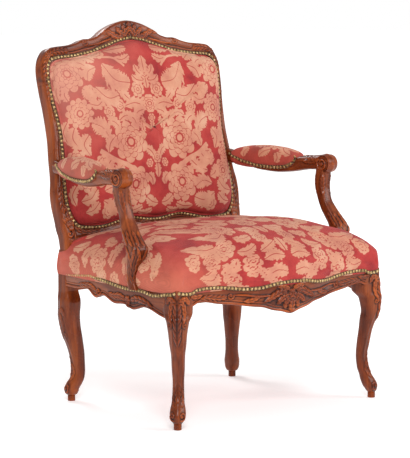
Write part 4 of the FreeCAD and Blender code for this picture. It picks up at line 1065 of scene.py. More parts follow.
# The hand: a thick scroll whose two faces carry a spiral, with a ridge round its rim
def voluteDrum(name):
    radius, halfWide = arm["voluteRadius"], arm["voluteHalf"]
    reach = np.linspace(0.5, radius - 3.0, 22)
    count = arm["voluteSpokes"]
    spokes = np.linspace(0, 2 * np.pi, count, endpoint=False)
    rr, aa = np.meshgrid(reach, spokes, indexing="ij")
    p = np.stack([rr * np.cos(aa), rr * np.sin(aa)], axis=-1)
    relief = volute(p, (0, 0), radius - 3.5, arm["voluteTurns"], 3.0, 3.4, start=60, sense=-1)
    faceX = halfWide - 3.0 + relief + 2.0 * np.clip(1 - rr / radius, 0, 1)
    rows = [np.stack([faceX, p[..., 0], p[..., 1]], axis=-1)]
    tone = [hollowOf(relief, 3, 0.5)]
    turns = np.radians(np.linspace(15, 165, 21))
    rim = radius - 3.0 + 3.0 * np.sin(turns) + 1.5 * np.exp(-(((turns - np.pi / 2) / 0.25) ** 2))
    x = (halfWide - 2.5) * np.cos(turns)
    band = np.stack([
        x[:, None] * np.ones((1, count)), rim[:, None] * np.cos(spokes), rim[:, None] * np.sin(spokes),
    ], axis=-1)
    rows.append(band)
    # The rim gets a brighter hollow value: partly rubbing of the rim and partly a slight painted highlight
    tone.append(np.full(band.shape[:2], 0.4))
    rows.append((rows[0] * [-1, 1, 1])[::-1])
    tone.append(tone[0][::-1])
    points = np.concatenate(rows) + [arm["handX"], arm["handY"], arm["handZ"]]
    return gridPiece(name, points, around=True, capped=True, fields={"hollow": np.concatenate(tone)})


armRight = joinPieces("armRight", [armShaft, voluteDrum("armHand")])
armLeft = mirrorPiece("armLeft", armRight)
dress(armRight, walnutY, ["arm_right"])
dress(armLeft, walnutY, ["arm_left"])

supportRows = [  # z, sweep, side, splay
    (580.0, 0.00, 32.0, 0.90), (560.0, 0.00, 34.0, 0.70), (535.0, 0.01, 32.0, 0.30),
    (494.0, 0.20, 29.0, 0.00), (468.0, 0.43, 34.0, 0.25), (448.0, 0.66, 38.0, 0.60),
    (432.0, 0.87, 41.0, 0.75), (416.0, 1.00, 42.0, 0.75), (401.0, 0.98, 37.0, 0.72),
    (386.0, 0.84, 30.0, 0.65), (370.0, 0.74, 26.0, 0.50), (353.0, 0.68, 24.0, 0.42),
    (337.0, 0.74, 26.0, 0.40), (320.0, 0.86, 30.0, 0.40),
]
support = {"topY": -85.0, "sweep": 60.0, "splay": 10.0}


def supportCarving(angle, centres, halves):
    z = centres[:, 2][:, None] * np.ones_like(angle)
    fields = []
    for corner, weight in ((-np.pi / 4, 1.0), (-3 * np.pi / 4, 0.9), (np.pi / 4, 0.9), (3 * np.pi / 4, 0.5)):
        away = (angle - corner + np.pi) % (2 * np.pi) - np.pi
        across = away * halves[:, :1] * 1.25
        p = np.stack([across, z], axis=-1)
        m = np.stack([np.abs(across), z], axis=-1)
        fields.append(weight * 1.4 * np.exp(-((across / 3.2) ** 2)) * np.clip((560 - z) / 30, 0, 1))
        fields.append(weight * leaf(m, [(2, 334), (9, 366), (10, 398), (4, 428)], 7, 3.6, lobes=6))
        fields.append(weight * leaf(m, [(8, 425), (12, 440), (7, 462)], 6, 2.6, lobes=4))
        fields.append(weight * leaf(p, [(0, 556), (0, 530), (0, 500)], 9, 2.4, lobes=5))
    return highest(*fields)


places = np.arange(320.0, 581.0, 1.8)
sweep, side, splay = steady(supportRows, places)
centres = np.stack([
    arm["handX"] - support["splay"] * (1.1 - splay), support["topY"] - sweep * support["sweep"], places,
], axis=-1)
supportRight = barPiece("armSupportRight", centres, side / 2, 3.4, supportCarving, count=72)
supportLeft = mirrorPiece("armSupportLeft", supportRight)
dress(supportRight, walnutZ, ["arm_support_right"])
dress(supportLeft, walnutZ, ["arm_support_left"])
print("arms ready")

# Cushions: rings of points over a flat layout of the cloth, blown out by a cloth simulation

damaskMotifs = {
    "leafWidth": 1.5,  # breadth of every leaf and flower, as laid out below
    "flowerSize": 1.1,
    "edge": 1.8,  # softness of a figure's edge in the height field, in mm
}


# One half at the outline of a figure, rising inwards
def shapeLevel(distance):
    return 0.5 - distance / (2 * damaskMotifs["edge"])


# Draws a figure only where its own places can reach, which keeps the pattern quick
def nearby(draw):

    def limited(p, line, width, *rest, **more):
        path = np.atleast_2d(np.asarray(line, float))
        reach = 1.6 * width + 4
        low, high = path.min(axis=0) - reach, path.max(axis=0) + reach
        near = ((p >= low) & (p <= high)).all(axis=-1)
        result = np.zeros(p.shape[:-1])
        if near.any():
            result[near] = draw(p[near], line, width, *rest, **more)
        return result

    return limited


@nearby
def leafShape(p, line, width, lobes):
    width = width * damaskMotifs["leafWidth"]
    share, off, _ = nearLine(p, smoothLine(line, 14))
    body = np.sin(np.pi * np.clip(share, 0, 1) ** 0.75) ** 0.7
    phase = lobes * (share + np.abs(off) / (width * 2.6))
    tooth = phase % 1.0
    edge = width * body * (0.62 + 0.38 * tooth)
    solid = shapeLevel(np.abs(off) - edge)
    veins = 0.5 * np.exp(-(((tooth - 0.04) / 0.13) ** 2)) * np.clip(np.abs(off) / width * 2.2, 0, 1)
    rib = 0.85 * np.exp(-((off / 1.5) ** 2))
    ends = np.clip(share * 40, 0, 1) * np.clip((1 - share) * 40, 0, 1)
    return np.clip(solid, 0, 1) * ends * (1 - veins) * (1 - rib)


@nearby
def stemShape(p, line, width):
    share, off, _ = nearLine(p, smoothLine(line, 14))
    ends = np.clip(share * 60, 0, 1) * np.clip((1 - share) * 60, 0, 1)
    return np.clip(shapeLevel(np.abs(off) - width), 0, 1) * ends


# Rings of petals parted by thin red lines, round a dotted heart
@nearby
def flowerShape(p, centre, radius, petals, rings, squash=1.0):
    radius = radius * damaskMotifs["flowerSize"]
    rel = (p - np.asarray(centre, float)) / [1.0, squash]
    dist = np.linalg.norm(rel, axis=-1)
    angle = np.arctan2(rel[..., 1], rel[..., 0])
    result = np.zeros(dist.shape)
    for ring in range(rings):
        outer = radius * (1 - ring / (rings + 0.6))
        phase = petals * (angle + ring * np.pi / petals) / 2
        lobe = np.abs(np.cos(phase)) ** 0.6
        edge = outer * (0.78 + 0.22 * lobe)
        solid = np.clip(shapeLevel(dist - edge), 0, 1)
        line = np.exp(-(((dist - edge) / 1.4) ** 2)) * (ring > 0)
        part = np.exp(-((np.cos(phase) / 0.16) ** 2)) * (dist > edge * 0.55) * (dist < edge)
        result = np.maximum(result * (dist > edge), solid) * (1 - 0.75 * line) * (1 - 0.6 * part)
    heart = dist / (0.2 * radius)
    return result * (1 - 0.8 * np.exp(-((heart - 1.0) / 0.35) ** 2))


# Figures of the damask: a leaf is three places, a width and its teeth; a flower is a centre, a radius,
# its petals and its rings, with a squash where it isn't round; a stem is its places and half its width
backLeaves = [
    (0, 372, 0, 392, 0, 416, 12, 4), (6, 362, 22, 374, 30, 394, 9, 4), (8, 350, 28, 352, 44, 366, 9, 4),
    (0, 330, 0, 344, 0, 358, 8, 3), (16, 284, 46, 292, 82, 284, 13, 6),
    (20, 276, 44, 266, 48, 242, 11, 5), (0, 242, 0, 234, 0, 224, 7, 3),
    (52, 226, 60, 252, 86, 262, 14, 6), (112, 228, 128, 244, 152, 248, 12, 5),
    (36, 170, 20, 160, 8, 142, 10, 4), (50, 344, 96, 352, 132, 398, 24, 9),
    (92, 312, 128, 306, 168, 336, 19, 8), (60, 300, 76, 316, 70, 344, 11, 5),
    (38, 418, 62, 406, 92, 412, 9, 4), (176, 384, 196, 400, 232, 404, 11, 5),
    (188, 352, 180, 376, 152, 388, 14, 6), (210, 332, 190, 316, 176, 290, 15, 7),
    (254, 300, 262, 320, 252, 334, 9, 4), (196, 244, 170, 232, 150, 200, 19, 8),
    (246, 234, 254, 208, 236, 176, 15, 7), (208, 214, 226, 190, 212, 158, 14, 6),
    (150, 152, 172, 132, 206, 132, 15, 6), (116, 134, 142, 112, 176, 100, 14, 6),
    (0, 126, 0, 108, 0, 88, 9, 4), (36, 100, 22, 88, 20, 70, 9, 4), (44, 44, 24, 30, 4, 26, 11, 5),
    (124, 60, 150, 74, 184, 66, 15, 7), (118, 34, 150, 24, 190, 42, 17, 8),
    (206, 76, 226, 52, 256, 46, 14, 6), (200, 40, 222, 20, 244, 16, 11, 5),
    (56, 22, 84, 12, 116, 12, 9, 4), (150, 404, 180, 424, 222, 424, 14, 6),
    (40, 440, 74, 438, 112, 436, 12, 6), (150, 300, 168, 288, 196, 292, 10, 4),
    (262, 250, 276, 226, 268, 196, 10, 5), (60, 262, 92, 258, 112, 246, 10, 5),
    (130, 206, 150, 190, 160, 164, 13, 6), (206, 118, 200, 96, 178, 84, 12, 5),
    (140, 96, 152, 112, 176, 116, 10, 5), (30, 216, 34, 236, 20, 252, 7, 4), (24, 12, 44, 2, 70, 6, 8, 4),
    (262, 88, 276, 64, 268, 34, 10, 5), (276, 350, 284, 322, 276, 294, 9, 5),
]
backFlowers = [
    (0, 368, 13, 6, 2), (30, 327, 19, 7, 2), (0, 290, 27, 9, 3, 0.8), (0, 252, 11, 6, 2),
    (84, 190, 52, 9, 4), (136, 270, 17, 7, 2), (246, 372, 46, 10, 4), (226, 268, 36, 12, 3),
    (0, 142, 15, 6, 2), (28, 128, 11, 6, 2), (80, 76, 47, 9, 4), (232, 100, 30, 9, 3),
    (134, 432, 20, 7, 2), (186, 320, 20, 7, 2), (252, 150, 26, 8, 3), (182, 142, 18, 7, 2),
    (172, 14, 20, 7, 2), (96, 286, 16, 6, 2),
]
backStems = [
    ([(30, 256), (26, 238), (8, 226), (0, 224)], 3.2), ([(136, 254), (150, 232), (178, 214)], 3.4),
    ([(60, 388), (88, 410), (126, 416)], 3.0), ([(186, 172), (150, 150), (110, 132), (66, 108)], 6.5),
]
seatLeaves = [
    (0, 56, 0, 20, 0, -26, 20, 7), (10, 60, 40, 56, 70, 84, 14, 6), (20, 120, 56, 140, 96, 130, 17, 7),
    (66, 30, 96, 48, 130, 84, 18, 8), (176, -10, 212, 10, 252, 0, 19, 8),
    (166, 50, 206, 60, 248, 92, 18, 8), (212, 132, 248, 126, 280, 150, 15, 6),
    (70, -66, 44, -96, 16, -104, 16, 7), (148, -84, 186, -106, 226, -110, 18, 8),
    (110, -92, 96, -130, 52, -150, 17, 7), (186, -156, 222, -154, 262, -132, 16, 7),
    (96, -196, 60, -206, 24, -190, 14, 6), (0, -186, 0, -214, 0, -240, 14, 5),
    (178, -204, 214, -222, 256, -214, 17, 8), (90, -240, 126, -246, 160, -230, 14, 6),
    (232, -262, 270, -268, 306, -256, 15, 6), (92, -282, 124, -292, 158, -284, 13, 6),
    (0, -266, 0, -292, 0, -322, 13, 5), (12, -330, 44, -322, 82, -330, 14, 6),
    (12, -372, 50, -364, 92, -376, 14, 6), (230, -330, 262, -346, 300, -340, 14, 6),
    (150, -380, 186, -392, 226, -384, 13, 6), (300, -60, 334, -40, 372, -44, 15, 6),
    (312, 40, 330, 76, 372, 86, 15, 6), (316, -120, 352, -104, 392, -112, 14, 6),
    (320, -230, 356, -222, 396, -236, 14, 6), (40, -40, 58, -14, 56, 18, 15, 6),
    (206, 84, 222, 108, 222, 140, 13, 6), (120, 70, 142, 62, 166, 66, 11, 5),
    (196, -60, 224, -44, 256, -26, 14, 6), (186, -196, 200, -176, 222, -182, 11, 5),
    (28, -196, 44, -222, 84, -222, 13, 6), (20, -280, 50, -294, 86, -306, 13, 6),
    (156, -306, 176, -326, 214, -316, 13, 6), (296, -140, 300, -166, 314, -200, 14, 6),
    (276, 30, 298, 8, 300, -30, 13, 6), (298, 96, 312, 122, 310, 156, 13, 6),
    (100, -350, 84, -372, 60, -380, 12, 5), (230, -400, 262, -420, 300, -414, 12, 5),
    (380, -20, 402, 10, 400, 50, 13, 6), (378, -120, 402, -150, 402, -190, 13, 6),
]
seatFlowers = [
    (118, -30, 54, 9, 4), (0, 96, 38, 10, 3), (168, 112, 40, 9, 3), (262, -70, 38, 8, 3),
    (0, -144, 36, 9, 3), (142, -172, 42, 9, 4), (58, -252, 26, 8, 3), (276, -180, 26, 8, 2),
    (196, -268, 34, 8, 3), (120, -334, 28, 8, 3), (196, -350, 28, 8, 3), (264, -390, 24, 8, 2),
    (352, 20, 34, 9, 3), (348, -176, 28, 8, 3), (360, 140, 26, 8, 2), (402, -60, 22, 8, 2),
    (62, 110, 22, 7, 2), (72, -128, 24, 7, 2), (238, -300, 26, 8, 3), (300, -300, 22, 8, 2),
    (60, -408, 24, 8, 2),
]
armLeaves = [
    (0, 84, 6, 110, 0, 134, 12, 5), (10, 40, 24, 26, 30, 6, 10, 5), (24, 70, 34, 92, 46, 104, 10, 5),
    (0, 34, 0, 16, 0, -2, 10, 4), (20, 140, 34, 152, 48, 150, 9, 4), (30, 50, 44, 44, 58, 52, 9, 4),
]
armFlowers = [
    (0, 60, 22, 8, 3), (0, 158, 18, 7, 2),
]


def drawn(across, along, leaves, flowers, stems=()):
    p = np.stack([np.abs(across), along], axis=-1)
    shapes = [leafShape(p, [(a, b), (c, d), (e, f)], *rest) for a, b, c, d, e, f, *rest in leaves]
    shapes += [flowerShape(p, (x, y), *rest) for x, y, *rest in flowers]
    shapes += [stemShape(p, line, width) for line, width in stems]
    return highest(*shapes)


# A bouquet between great flowers, with serrated leaves and stems, up the back
def backDamask(u, v):
    return drawn(u, v, backLeaves, backFlowers, backStems)


# Laid on the flat cloth of the seat: y runs back from the front edge
def seatDamask(x, y):
    return drawn(x, y, seatLeaves, seatFlowers)


def armDamask(x, y):
    return drawn(x, y, armLeaves, armFlowers)


def readField(mesh, key):
    values = np.zeros(len(mesh.vertices))
    mesh.attributes[key].data.foreach_get("value", values)
    return values


def writeField(mesh, key, values):
    layer = mesh.attributes.get(key) or mesh.attributes.new(key, "FLOAT", "POINT")
    layer.data.foreach_set("value", np.asarray(values, float))


def readPlaces(piece):
    values = np.zeros(len(piece.data.vertices) * 3)
    piece.data.vertices.foreach_get("co", values)
    return values.reshape(-1, 3)


def pinGroup(piece, weights):
    group = piece.vertex_groups.new(name="held")
    for index, weight in enumerate(weights):
        if weight > 0:
            group.add([index], float(weight), "REPLACE")
    return group


clothLook = {
    "frames": 20,
    "quality": 5,
    "mass": 0.3,
    "pressure": 4.0,
    "stiffness": 24.0,
    "bending": 2.0,
    "mostMove": 5.0,  # no point ends further than this from where it was laid out
}


# A short cloth simulation gives the cushion its drawn and stuffed look; held points stay at the nails
def inflate(piece, held):
    before = readPlaces(piece)
    pinGroup(piece, held)
    cloth = piece.modifiers.new("cloth", "CLOTH")
    cloth.settings.quality = clothLook["quality"]
    cloth.settings.mass = clothLook["mass"]
    for kind in ("tension", "compression", "shear"):
        setattr(cloth.settings, kind + "_stiffness", clothLook["stiffness"])
    cloth.settings.bending_stiffness = clothLook["bending"]
    cloth.settings.use_pressure = True
    cloth.settings.uniform_pressure_force = clothLook["pressure"]
    cloth.settings.effector_weights.gravity = 0.0
    cloth.settings.vertex_group_mass = "held"
    cloth.collision_settings.use_collision = False
    cloth.point_cache.frame_start = 1
    cloth.point_cache.frame_end = clothLook["frames"]
    for number in range(1, clothLook["frames"] + 1):
        bpy.context.scene.frame_set(number)
    deselectAll()
    piece.select_set(True)
    bpy.context.view_layer.objects.active = piece
    bpy.ops.object.modifier_apply(modifier="cloth")
    bpy.context.scene.frame_set(1)
    after = readPlaces(piece)
    move = after - before
    far = np.linalg.norm(move, axis=1, keepdims=True)
    most = clothLook["mostMove"] * 0.001
    move *= np.minimum(1.0, most / np.maximum(far, 1e-9))
    piece.data.vertices.foreach_set("co", (before + move).ravel())
    piece.vertex_groups.clear()


# Cubic steps between the rows of a grid, and round its closed rings
def finer(grid, times, closed):
    rows = grid.shape[0]
    goal = np.linspace(0, rows - 1, (rows - 1) * times + (0 if closed else 1), endpoint=not closed)
    if closed:
        goal = np.arange(rows * times) / times
    k = np.floor(goal).astype(int)
    t = (goal - k).reshape((-1,) + (1,) * (grid.ndim - 1))

    def at(index):
        return grid[index % rows] if closed else grid[np.clip(index, 0, rows - 1)]

    a, b, c, d = at(k - 1), at(k), at(k + 1), at(k + 2)
    return b + 0.5 * t * (c - a + t * (2 * a - 5 * b + 4 * c - d + t * (3 * (b - c) + d - a)))


# rings run from the nails to the crown; flats are their places on the flat cloth
def cushionPiece(name, rings, flats, pattern, paleWearAndLight, held=2.5, times=4):
    rings, flats = np.asarray(rings, float), np.asarray(flats, float)
    rows, cols = rings.shape[:2]
    row, col = np.meshgrid(np.arange(rows), np.arange(cols), indexing="ij")
    coarse = gridPiece(name + "Coarse", rings, around=True, capped=True, fields={"row": row, "col": col})
    row = readField(coarse.data, "row").round().astype(int)
    col = readField(coarse.data, "col").round().astype(int)
    pinned = held(readPlaces(coarse) * 1000) if callable(held) else row < held
    inflate(coarse, np.where(pinned, 1.0, 0.0))
    blown = rings.copy()
    blown[row, col] = readPlaces(coarse) * 1000
    bpy.data.objects.remove(coarse)
    both = np.concatenate([blown, flats], axis=-1)
    both = finer(both, times, False)
    both = finer(both.swapaxes(0, 1), times, True).swapaxes(0, 1)
    points, flatX, flatY = both[..., :3], both[..., 3], both[..., 4]
    fields = {"motif": pattern(flatX, flatY), "wearAndPaintedLight": paleWearAndLight(points, flatX, flatY)}
    return gridPiece(name, points, around=True, capped=True, fields=fields)


print("patterns ready")

# Seat cushion

seatPad = {
    "rows": [  # z, inset, corner radius, rear inset
        (322.0, -2.0, 20.0, -2.0), (345.0, -5.0, 24.0, -3.0), (372.0, -5.5, 30.0, -2.0),
        (390.4, 4.0, 40.0, 12.0), (404.4, 16.0, 56.0, 36.0), (417.4, 36.0, 78.0, 66.0),
        (431.4, 72.0, 96.0, 112.0), (445.4, 118.0, 80.0, 150.0), (452.0, 165.0, 46.0, 190.0),
    ],
    "points": (17, 7, 26, 4, 14),
    "rings": 30,
    "crown": 4.0,
    "crownRings": 12,
    # strength of the seat's painted highlight
    "paleWearAndLight": 0.3,
}


def seatRings():
    table = [(k, *row) for k, row in enumerate(seatPad["rows"])]
    goal = np.linspace(0, len(table) - 1, seatPad["rings"])
    z, inset, radius, rear = steady(table, goal)
    rings, flats = [], []
    drop = np.concatenate([[0], np.cumsum(np.hypot(np.diff(z), np.diff(inset)))])
    total = drop[-1]
    flatRadius = max(radius[-1] * 0.6 + 10, 20)
    for k in range(len(goal)):
        left = total - drop[k]
        rings.append(withColumn(seatRing(inset[k], radius[k], rear[k], seatPad["points"]), z[k]))
        flats.append(seatRing(inset[-1] - left, flatRadius, rear[-1] - left, seatPad["points"]))
    last, flatLast = rings[-1], flats[-1]
    centre, flatCentre = last.mean(axis=0), flatLast.mean(axis=0)
    for k in np.linspace(0.9, 0.06, seatPad["crownRings"]):
        ring = centre + (last - centre) * k
        ring[:, 2] = last[:, 2] + seatPad["crown"] * (1 - k ** 2)
        rings.append(ring)
        flats.append(flatCentre + (flatLast - flatCentre) * k)
    return rings, flats


rings, flats = seatRings()


# Painted highlight: paler along the side that faces the key lamp, most on the cushion's lower flanks
def seatPaintedHighlight(points, flatX, flatY):
    outward = np.clip((-points[..., 0] - 150) / 220, 0, 1)
    low = np.clip((430 - points[..., 2]) / 80, 0.1, 1)
    return outward * low * seatPad["paleWearAndLight"]


seatCushion = cushionPiece("seatCushion", rings, flats, seatDamask, seatPaintedHighlight)
dress(seatCushion, damaskSeat, ["seat_cushion"])
print("seat cushion ready")

# Back cushion


nailPath = [(a[2], a[3]) for a in reversed(crestPairs)] + [(a[2], a[3]) for a in reversed(stilePairs[6:-1])]
nailPath += [(a[2], a[3]) for a in lowerPairs[1:]]
nailRight = smoothLine(nailPath, 110)
backLoop = np.concatenate([nailRight, (nailRight[1:-1] * [-1, 1])[::-1]])
backCentre = np.array([0.0, 222.0])


# Moves a closed loop inwards by inset, easing its corners as it goes
def insetLoop(loop, inset, softness=0.0):
    for _ in range(int(softness)):
        loop = 0.5 * loop + 0.25 * (np.roll(loop, 1, 0) + np.roll(loop, -1, 0))
    along = np.roll(loop, -1, 0) - np.roll(loop, 1, 0)
    along /= np.maximum(np.linalg.norm(along, axis=1, keepdims=True), 1e-6)
    normal = np.stack([along[:, 1], -along[:, 0]], axis=1)
    toCentre = backCentre - loop
    flip = np.sign((normal * toCentre).sum(axis=1).mean())
    return loop + flip * normal * inset


backPad = {
    "crown": 44.0,
    "rings": 22,
    "crownRings": 20,
    "easing": 2.2,  # how much softer each ring's corners are than the last one's
    # strength of the back's painted highlight
    "paleWearAndLight": 0.35,
    "rows": [  # share of the crown, inset
        (0.0, 3.0), (0.16, 2.0), (0.32, 2.5), (0.5, 6.0), (0.66, 14.0), (0.8, 29.0), (0.9, 50.0),
        (0.96, 77.0),
    ],
}


def backRings():
    table = [(k, *row) for k, row in enumerate(backPad["rows"])]
    goal = np.linspace(0, len(table) - 1, backPad["rings"])
    share, inset = steady(table, goal)
    depth = share * backPad["crown"]
    drop = np.concatenate([[0], np.cumsum(np.hypot(np.diff(depth), np.diff(inset)))])
    rings, flats = [], []
    for k in range(len(goal)):
        softness = 2 + backPad["easing"] * k
        ring = insetLoop(backLoop, inset[k], softness)
        rings.append(onBack(ring[:, 0], -depth[k], ring[:, 1]))
        flats.append(insetLoop(backLoop, inset[-1] - (drop[-1] - drop[k]), softness))
    last, flatLast = ring, flats[-1]
    for k in np.linspace(0.93, 0.04, backPad["crownRings"]):
        ring = backCentre + (last - backCentre) * k
        rise = backPad["crown"] * (0.96 + 0.07 * (1 - k ** 2))
        rings.append(onBack(ring[:, 0], -rise, ring[:, 1]))
        flats.append(backCentre + (flatLast - backCentre) * k)
    return rings, flats


rings, flats = backRings()


# Painted highlight: paler towards the upper shoulder on the key lamp's side
def backPaintedHighlight(points, flatX, flatY):
    return backPad["paleWearAndLight"] * np.clip((-flatX + 40) / 300, 0, 1) * np.clip((flatY - 120) / 260, 0, 1)


backCushion = cushionPiece("backCushion", rings, flats, backDamask, backPaintedHighlight)
dress(backCushion, damaskBack, ["back_cushion"])
print("back cushion ready")

# Arm pads

padRows = [  # share from the stile, low, top, width
    (0.0, 572.0, 604.0, 40.0), (0.06, 566.0, 611.0, 46.0), (0.25, 561.0, 619.0, 52.0),
    (0.5, 560.0, 622.0, 55.0), (0.72, 560.0, 619.0, 54.0), (0.9, 563.0, 612.0, 50.0),
    (0.97, 568.0, 606.0, 45.0), (1.0, 576.0, 598.0, 36.0),
]
pad = {
    "rearY": 198.0,
    "length": 203.0,
    "rings": 44,
    "points": 40,
    "squareness": 2.6,
    "girth": 30.0,  # flat cloth per radian round the pad
    "nailedBelow": 575.0,
    # both pads are mixed evenly towards pale, partly the cloth's fading; the left pad, on the key lamp's
    # side, more so as a painted highlight
    "wearAndLightRight": 0.12,
    "wearAndLightLeft": 0.22,
}


def padPiece(name):
    places = 0.5 - 0.5 * np.cos(np.pi * np.linspace(0, 1, pad["rings"]) ** 0.9)
    low, top, width = steady(padRows, places)
    y = pad["rearY"] - places * pad["length"]
    count = pad["points"]
    angle = np.linspace(-0.5 * np.pi, 1.5 * np.pi, count, endpoint=False)
    rr = squircle(angle, pad["squareness"])
    x = armX(y)[:, None] + (width / 2)[:, None] * rr * np.cos(angle)
    z = ((low + top) / 2)[:, None] + ((top - low) / 2)[:, None] * rr * np.sin(angle)
    rings = np.stack([x, y[:, None] * np.ones((1, count)), z], axis=-1)
    across = np.broadcast_to((angle - np.pi / 2) * pad["girth"], x.shape)
    flats = np.stack([across, rings[..., 1]], axis=-1)

    def nailed(points):
        return points[:, 2] < pad["nailedBelow"]

    def evenWearAndLight(points, flatX, flatY):
        return np.full(flatX.shape, pad["wearAndLightRight"])

    return cushionPiece(name, rings, flats, armDamask, evenWearAndLight, held=nailed, times=3)


padRight = padPiece("armPadRight")
padLeft = mirrorPiece("armPadLeft", padRight)
# The left pad made paler than the right: a painted highlight on the lit side
writeField(padLeft.data, "wearAndPaintedLight", np.full(len(padLeft.data.vertices), pad["wearAndLightLeft"]))
for piece, node in ((padRight, "arm_pad_right"), (padLeft, "arm_pad_left")):
    dress(piece, damaskArm, [node])
print("arm pads ready")

# Nails and braid

nailLook = {
    "radius": 4.0,
    "rise": 2.8,
    "pitch": 10.8,
    "braidWidth": 9.5,
    "braidThick": 1.2,
    "braidStep": 3.0,
    "backOut": 2.5,  # the back's nails stand this far outside the cushion's loop
    "backRise": 2.6,
    "backTilt": 0.35,  # and lean outwards by this share
}


def nailModel():
    deselectAll()
    bpy.ops.mesh.primitive_uv_sphere_add(segments=10, ring_count=6, radius=nailLook["radius"] * 0.001)
    nail = bpy.context.object
    nail.name = "nailModel"
    bpy.ops.object.mode_set(mode="EDIT")
    bpy.ops.mesh.select_all(action="SELECT")
    bpy.ops.mesh.bisect(plane_co=(0, 0, 0), plane_no=(0, 0, 1), clear_inner=True, use_fill=True)
    bpy.ops.mesh.select_all(action="SELECT")
    bpy.ops.mesh.normals_make_consistent(inside=False)
    bpy.ops.object.mode_set(mode="OBJECT")
    bpy.ops.object.shade_smooth()
    return nail


nail = nailModel()
nailPoints = readPlaces(nail) * [1, 1, nailLook["rise"] / nailLook["radius"]]


def evenly(line, pitch):
    line = np.asarray(line, float)
    span = np.linalg.norm(np.diff(line[:, :3], axis=0), axis=1)
    at = np.concatenate([[0], np.cumsum(span)])
    count = max(int(round(at[-1] / pitch)), 2)
    goal = np.linspace(0, at[-1], count + 1)
    return np.stack([np.interp(goal, at, line[:, k]) for k in range(line.shape[1])], axis=-1)


# Domed nails at an even pitch; line and normals are walked together
def nailRow(name, line, normals):
    spots = evenly(np.concatenate([line, normals], axis=1), nailLook["pitch"])
    copies = []
    for spot in spots:
        normal = spot[3:6] / np.linalg.norm(spot[3:6])
        side = np.cross(normal, [0.0, 0.3, 1.0])
        side /= np.linalg.norm(side)
        other = np.cross(normal, side)
        place = spot[:3] * 0.001 + nailPoints @ np.stack([side, other, normal])
        copy = nail.copy()
        copy.data = nail.data.copy()
        copy.data.vertices.foreach_set("co", place.ravel())
        bpy.context.scene.collection.objects.link(copy)
        copies.append(copy)
    return joinPieces(name, copies)


# A flat strip under the nails; U runs along it in centimetres
def braidStrip(name, line, normals, sides):
    both = evenly(np.concatenate([line, normals, sides], axis=1), nailLook["braidStep"])
    line, normals, sides = both[:, :3], both[:, 3:6], both[:, 6:9]
    normals /= np.linalg.norm(normals, axis=1, keepdims=True)
    sides /= np.linalg.norm(sides, axis=1, keepdims=True)
    half, thick = nailLook["braidWidth"] / 2, nailLook["braidThick"]
    profile = [
        (-half, 0.0), (-half * 0.92, thick * 0.9), (-half * 0.5, thick * 1.15), (0.0, thick),
        (half * 0.5, thick * 1.15), (half * 0.92, thick * 0.9), (half, 0.0), (0.0, -0.6),
    ]
    run = np.concatenate([[0], np.cumsum(np.linalg.norm(np.diff(line, axis=0), axis=1))]) / 10.0
    points = np.stack([line + sides * a + normals * b for a, b in profile], axis=1)
    uv = np.stack([np.stack([run, np.full(len(run), k / 8.0)], axis=-1) for k in range(9)], axis=1)
    return gridPiece(name, points, around=True, capped=True, uv=uv)


def edging(name, line, normals, sides):
    strip = braidStrip(name + "Braid", line, normals, sides)
    dress(strip, braid)
    row = nailRow(name + "Nails", line + normals * nailLook["braidThick"], normals)
    dress(row, brass)


loopClosed = np.concatenate([backLoop, backLoop[:1]])
inward = insetLoop(backLoop, 1.0) - backLoop
inward = np.concatenate([inward, inward[:1]])
nailLoop = loopClosed - nailLook["backOut"] * inward
line = onBack(nailLoop[:, 0], -nailLook["backRise"], nailLoop[:, 1])
tilt = onBack(0, -1.0, 0) - onBack(0, 0, 0)
sideways = onBack(inward[:, 0], 0, inward[:, 1]) - onBack(0, 0, 0)
normals = tilt - nailLook["backTilt"] * sideways
normals /= np.linalg.norm(normals, axis=1, keepdims=True)
edging("back", line, normals, sideways + nailLook["backTilt"] * tilt)

sideNail = [  # y and z of the nails along the side rail, up over the support's foot
    (176, 326), (156, 325), (123, 328), (89, 331), (58, 334), (25, 331), (-12, 328), (-62, 322), (-102, 319),
    (-153, 320), (-175, 318), (-202, 313), (-229, 315), (-250, 319), (-262, 321),
]
frontNail = [
    (0, 330), (47, 328), (90, 321), (110, 320), (130, 320), (147, 321), (181, 326), (215, 330),
    (255, 331), (281, 329), (296, 322), (307, 322), (320, 323),
]

# The line's corner, and how far it stands outside the seat's plan
seatNails = {"radius": 22.0, "out": 3.0}


# Round the seat from the right post by the front to the left post
def seatNailLine():
    radius, out = seatNails["radius"], seatNails["out"]
    x, y = seat["cornerX"] + out, seat["frontY"] - out
    soft = radius * (1 - math.sqrt(0.5))
    across = np.linspace(0, x - radius, 90)
    front = np.stack([across, frontY(across, -out)], axis=-1)
    bend = arcThrough((x - radius, y), (x - soft, y + soft), (x, y + radius), 12)
    along = np.linspace(y + radius, 176, 120)
    side = np.stack([sideX(along, -out), along], axis=-1)
    zFront = np.interp(across, *np.array(frontNail, float).T)
    sideTable = np.array(sorted(sideNail), float)
    zSide = np.interp(along, sideTable[:, 0], sideTable[:, 1])
    zBend = np.linspace(zFront[-1], zSide[0], 12) + 3.0 * np.sin(np.linspace(0, np.pi, 12))
    plan = np.concatenate([front, bend[1:], side[1:]])
    z = np.concatenate([zFront, zBend[1:], zSide[1:]])
    right = np.concatenate([plan, z[:, None]], axis=1)
    left = (right[1:] * [-1, 1, 1])[::-1]
    return np.concatenate([left, right])


line = seatNailLine()
tangent = np.gradient(line, axis=0)
up = np.array([0, 0, 1.0])
normals = np.cross(tangent, up)
normals /= np.linalg.norm(normals, axis=1, keepdims=True)
if normals[len(normals) // 2, 1] > 0:
    normals *= -1
edging("seat", line, normals, np.broadcast_to(up, line.shape).copy())

padNail = [
    (200, 593), (191, 587), (175, 582), (158, 576), (139, 572), (117, 567), (91, 565), (64, 564),
    (37, 565), (16, 569), (3, 576), (-3, 585), (-5, 594),
]


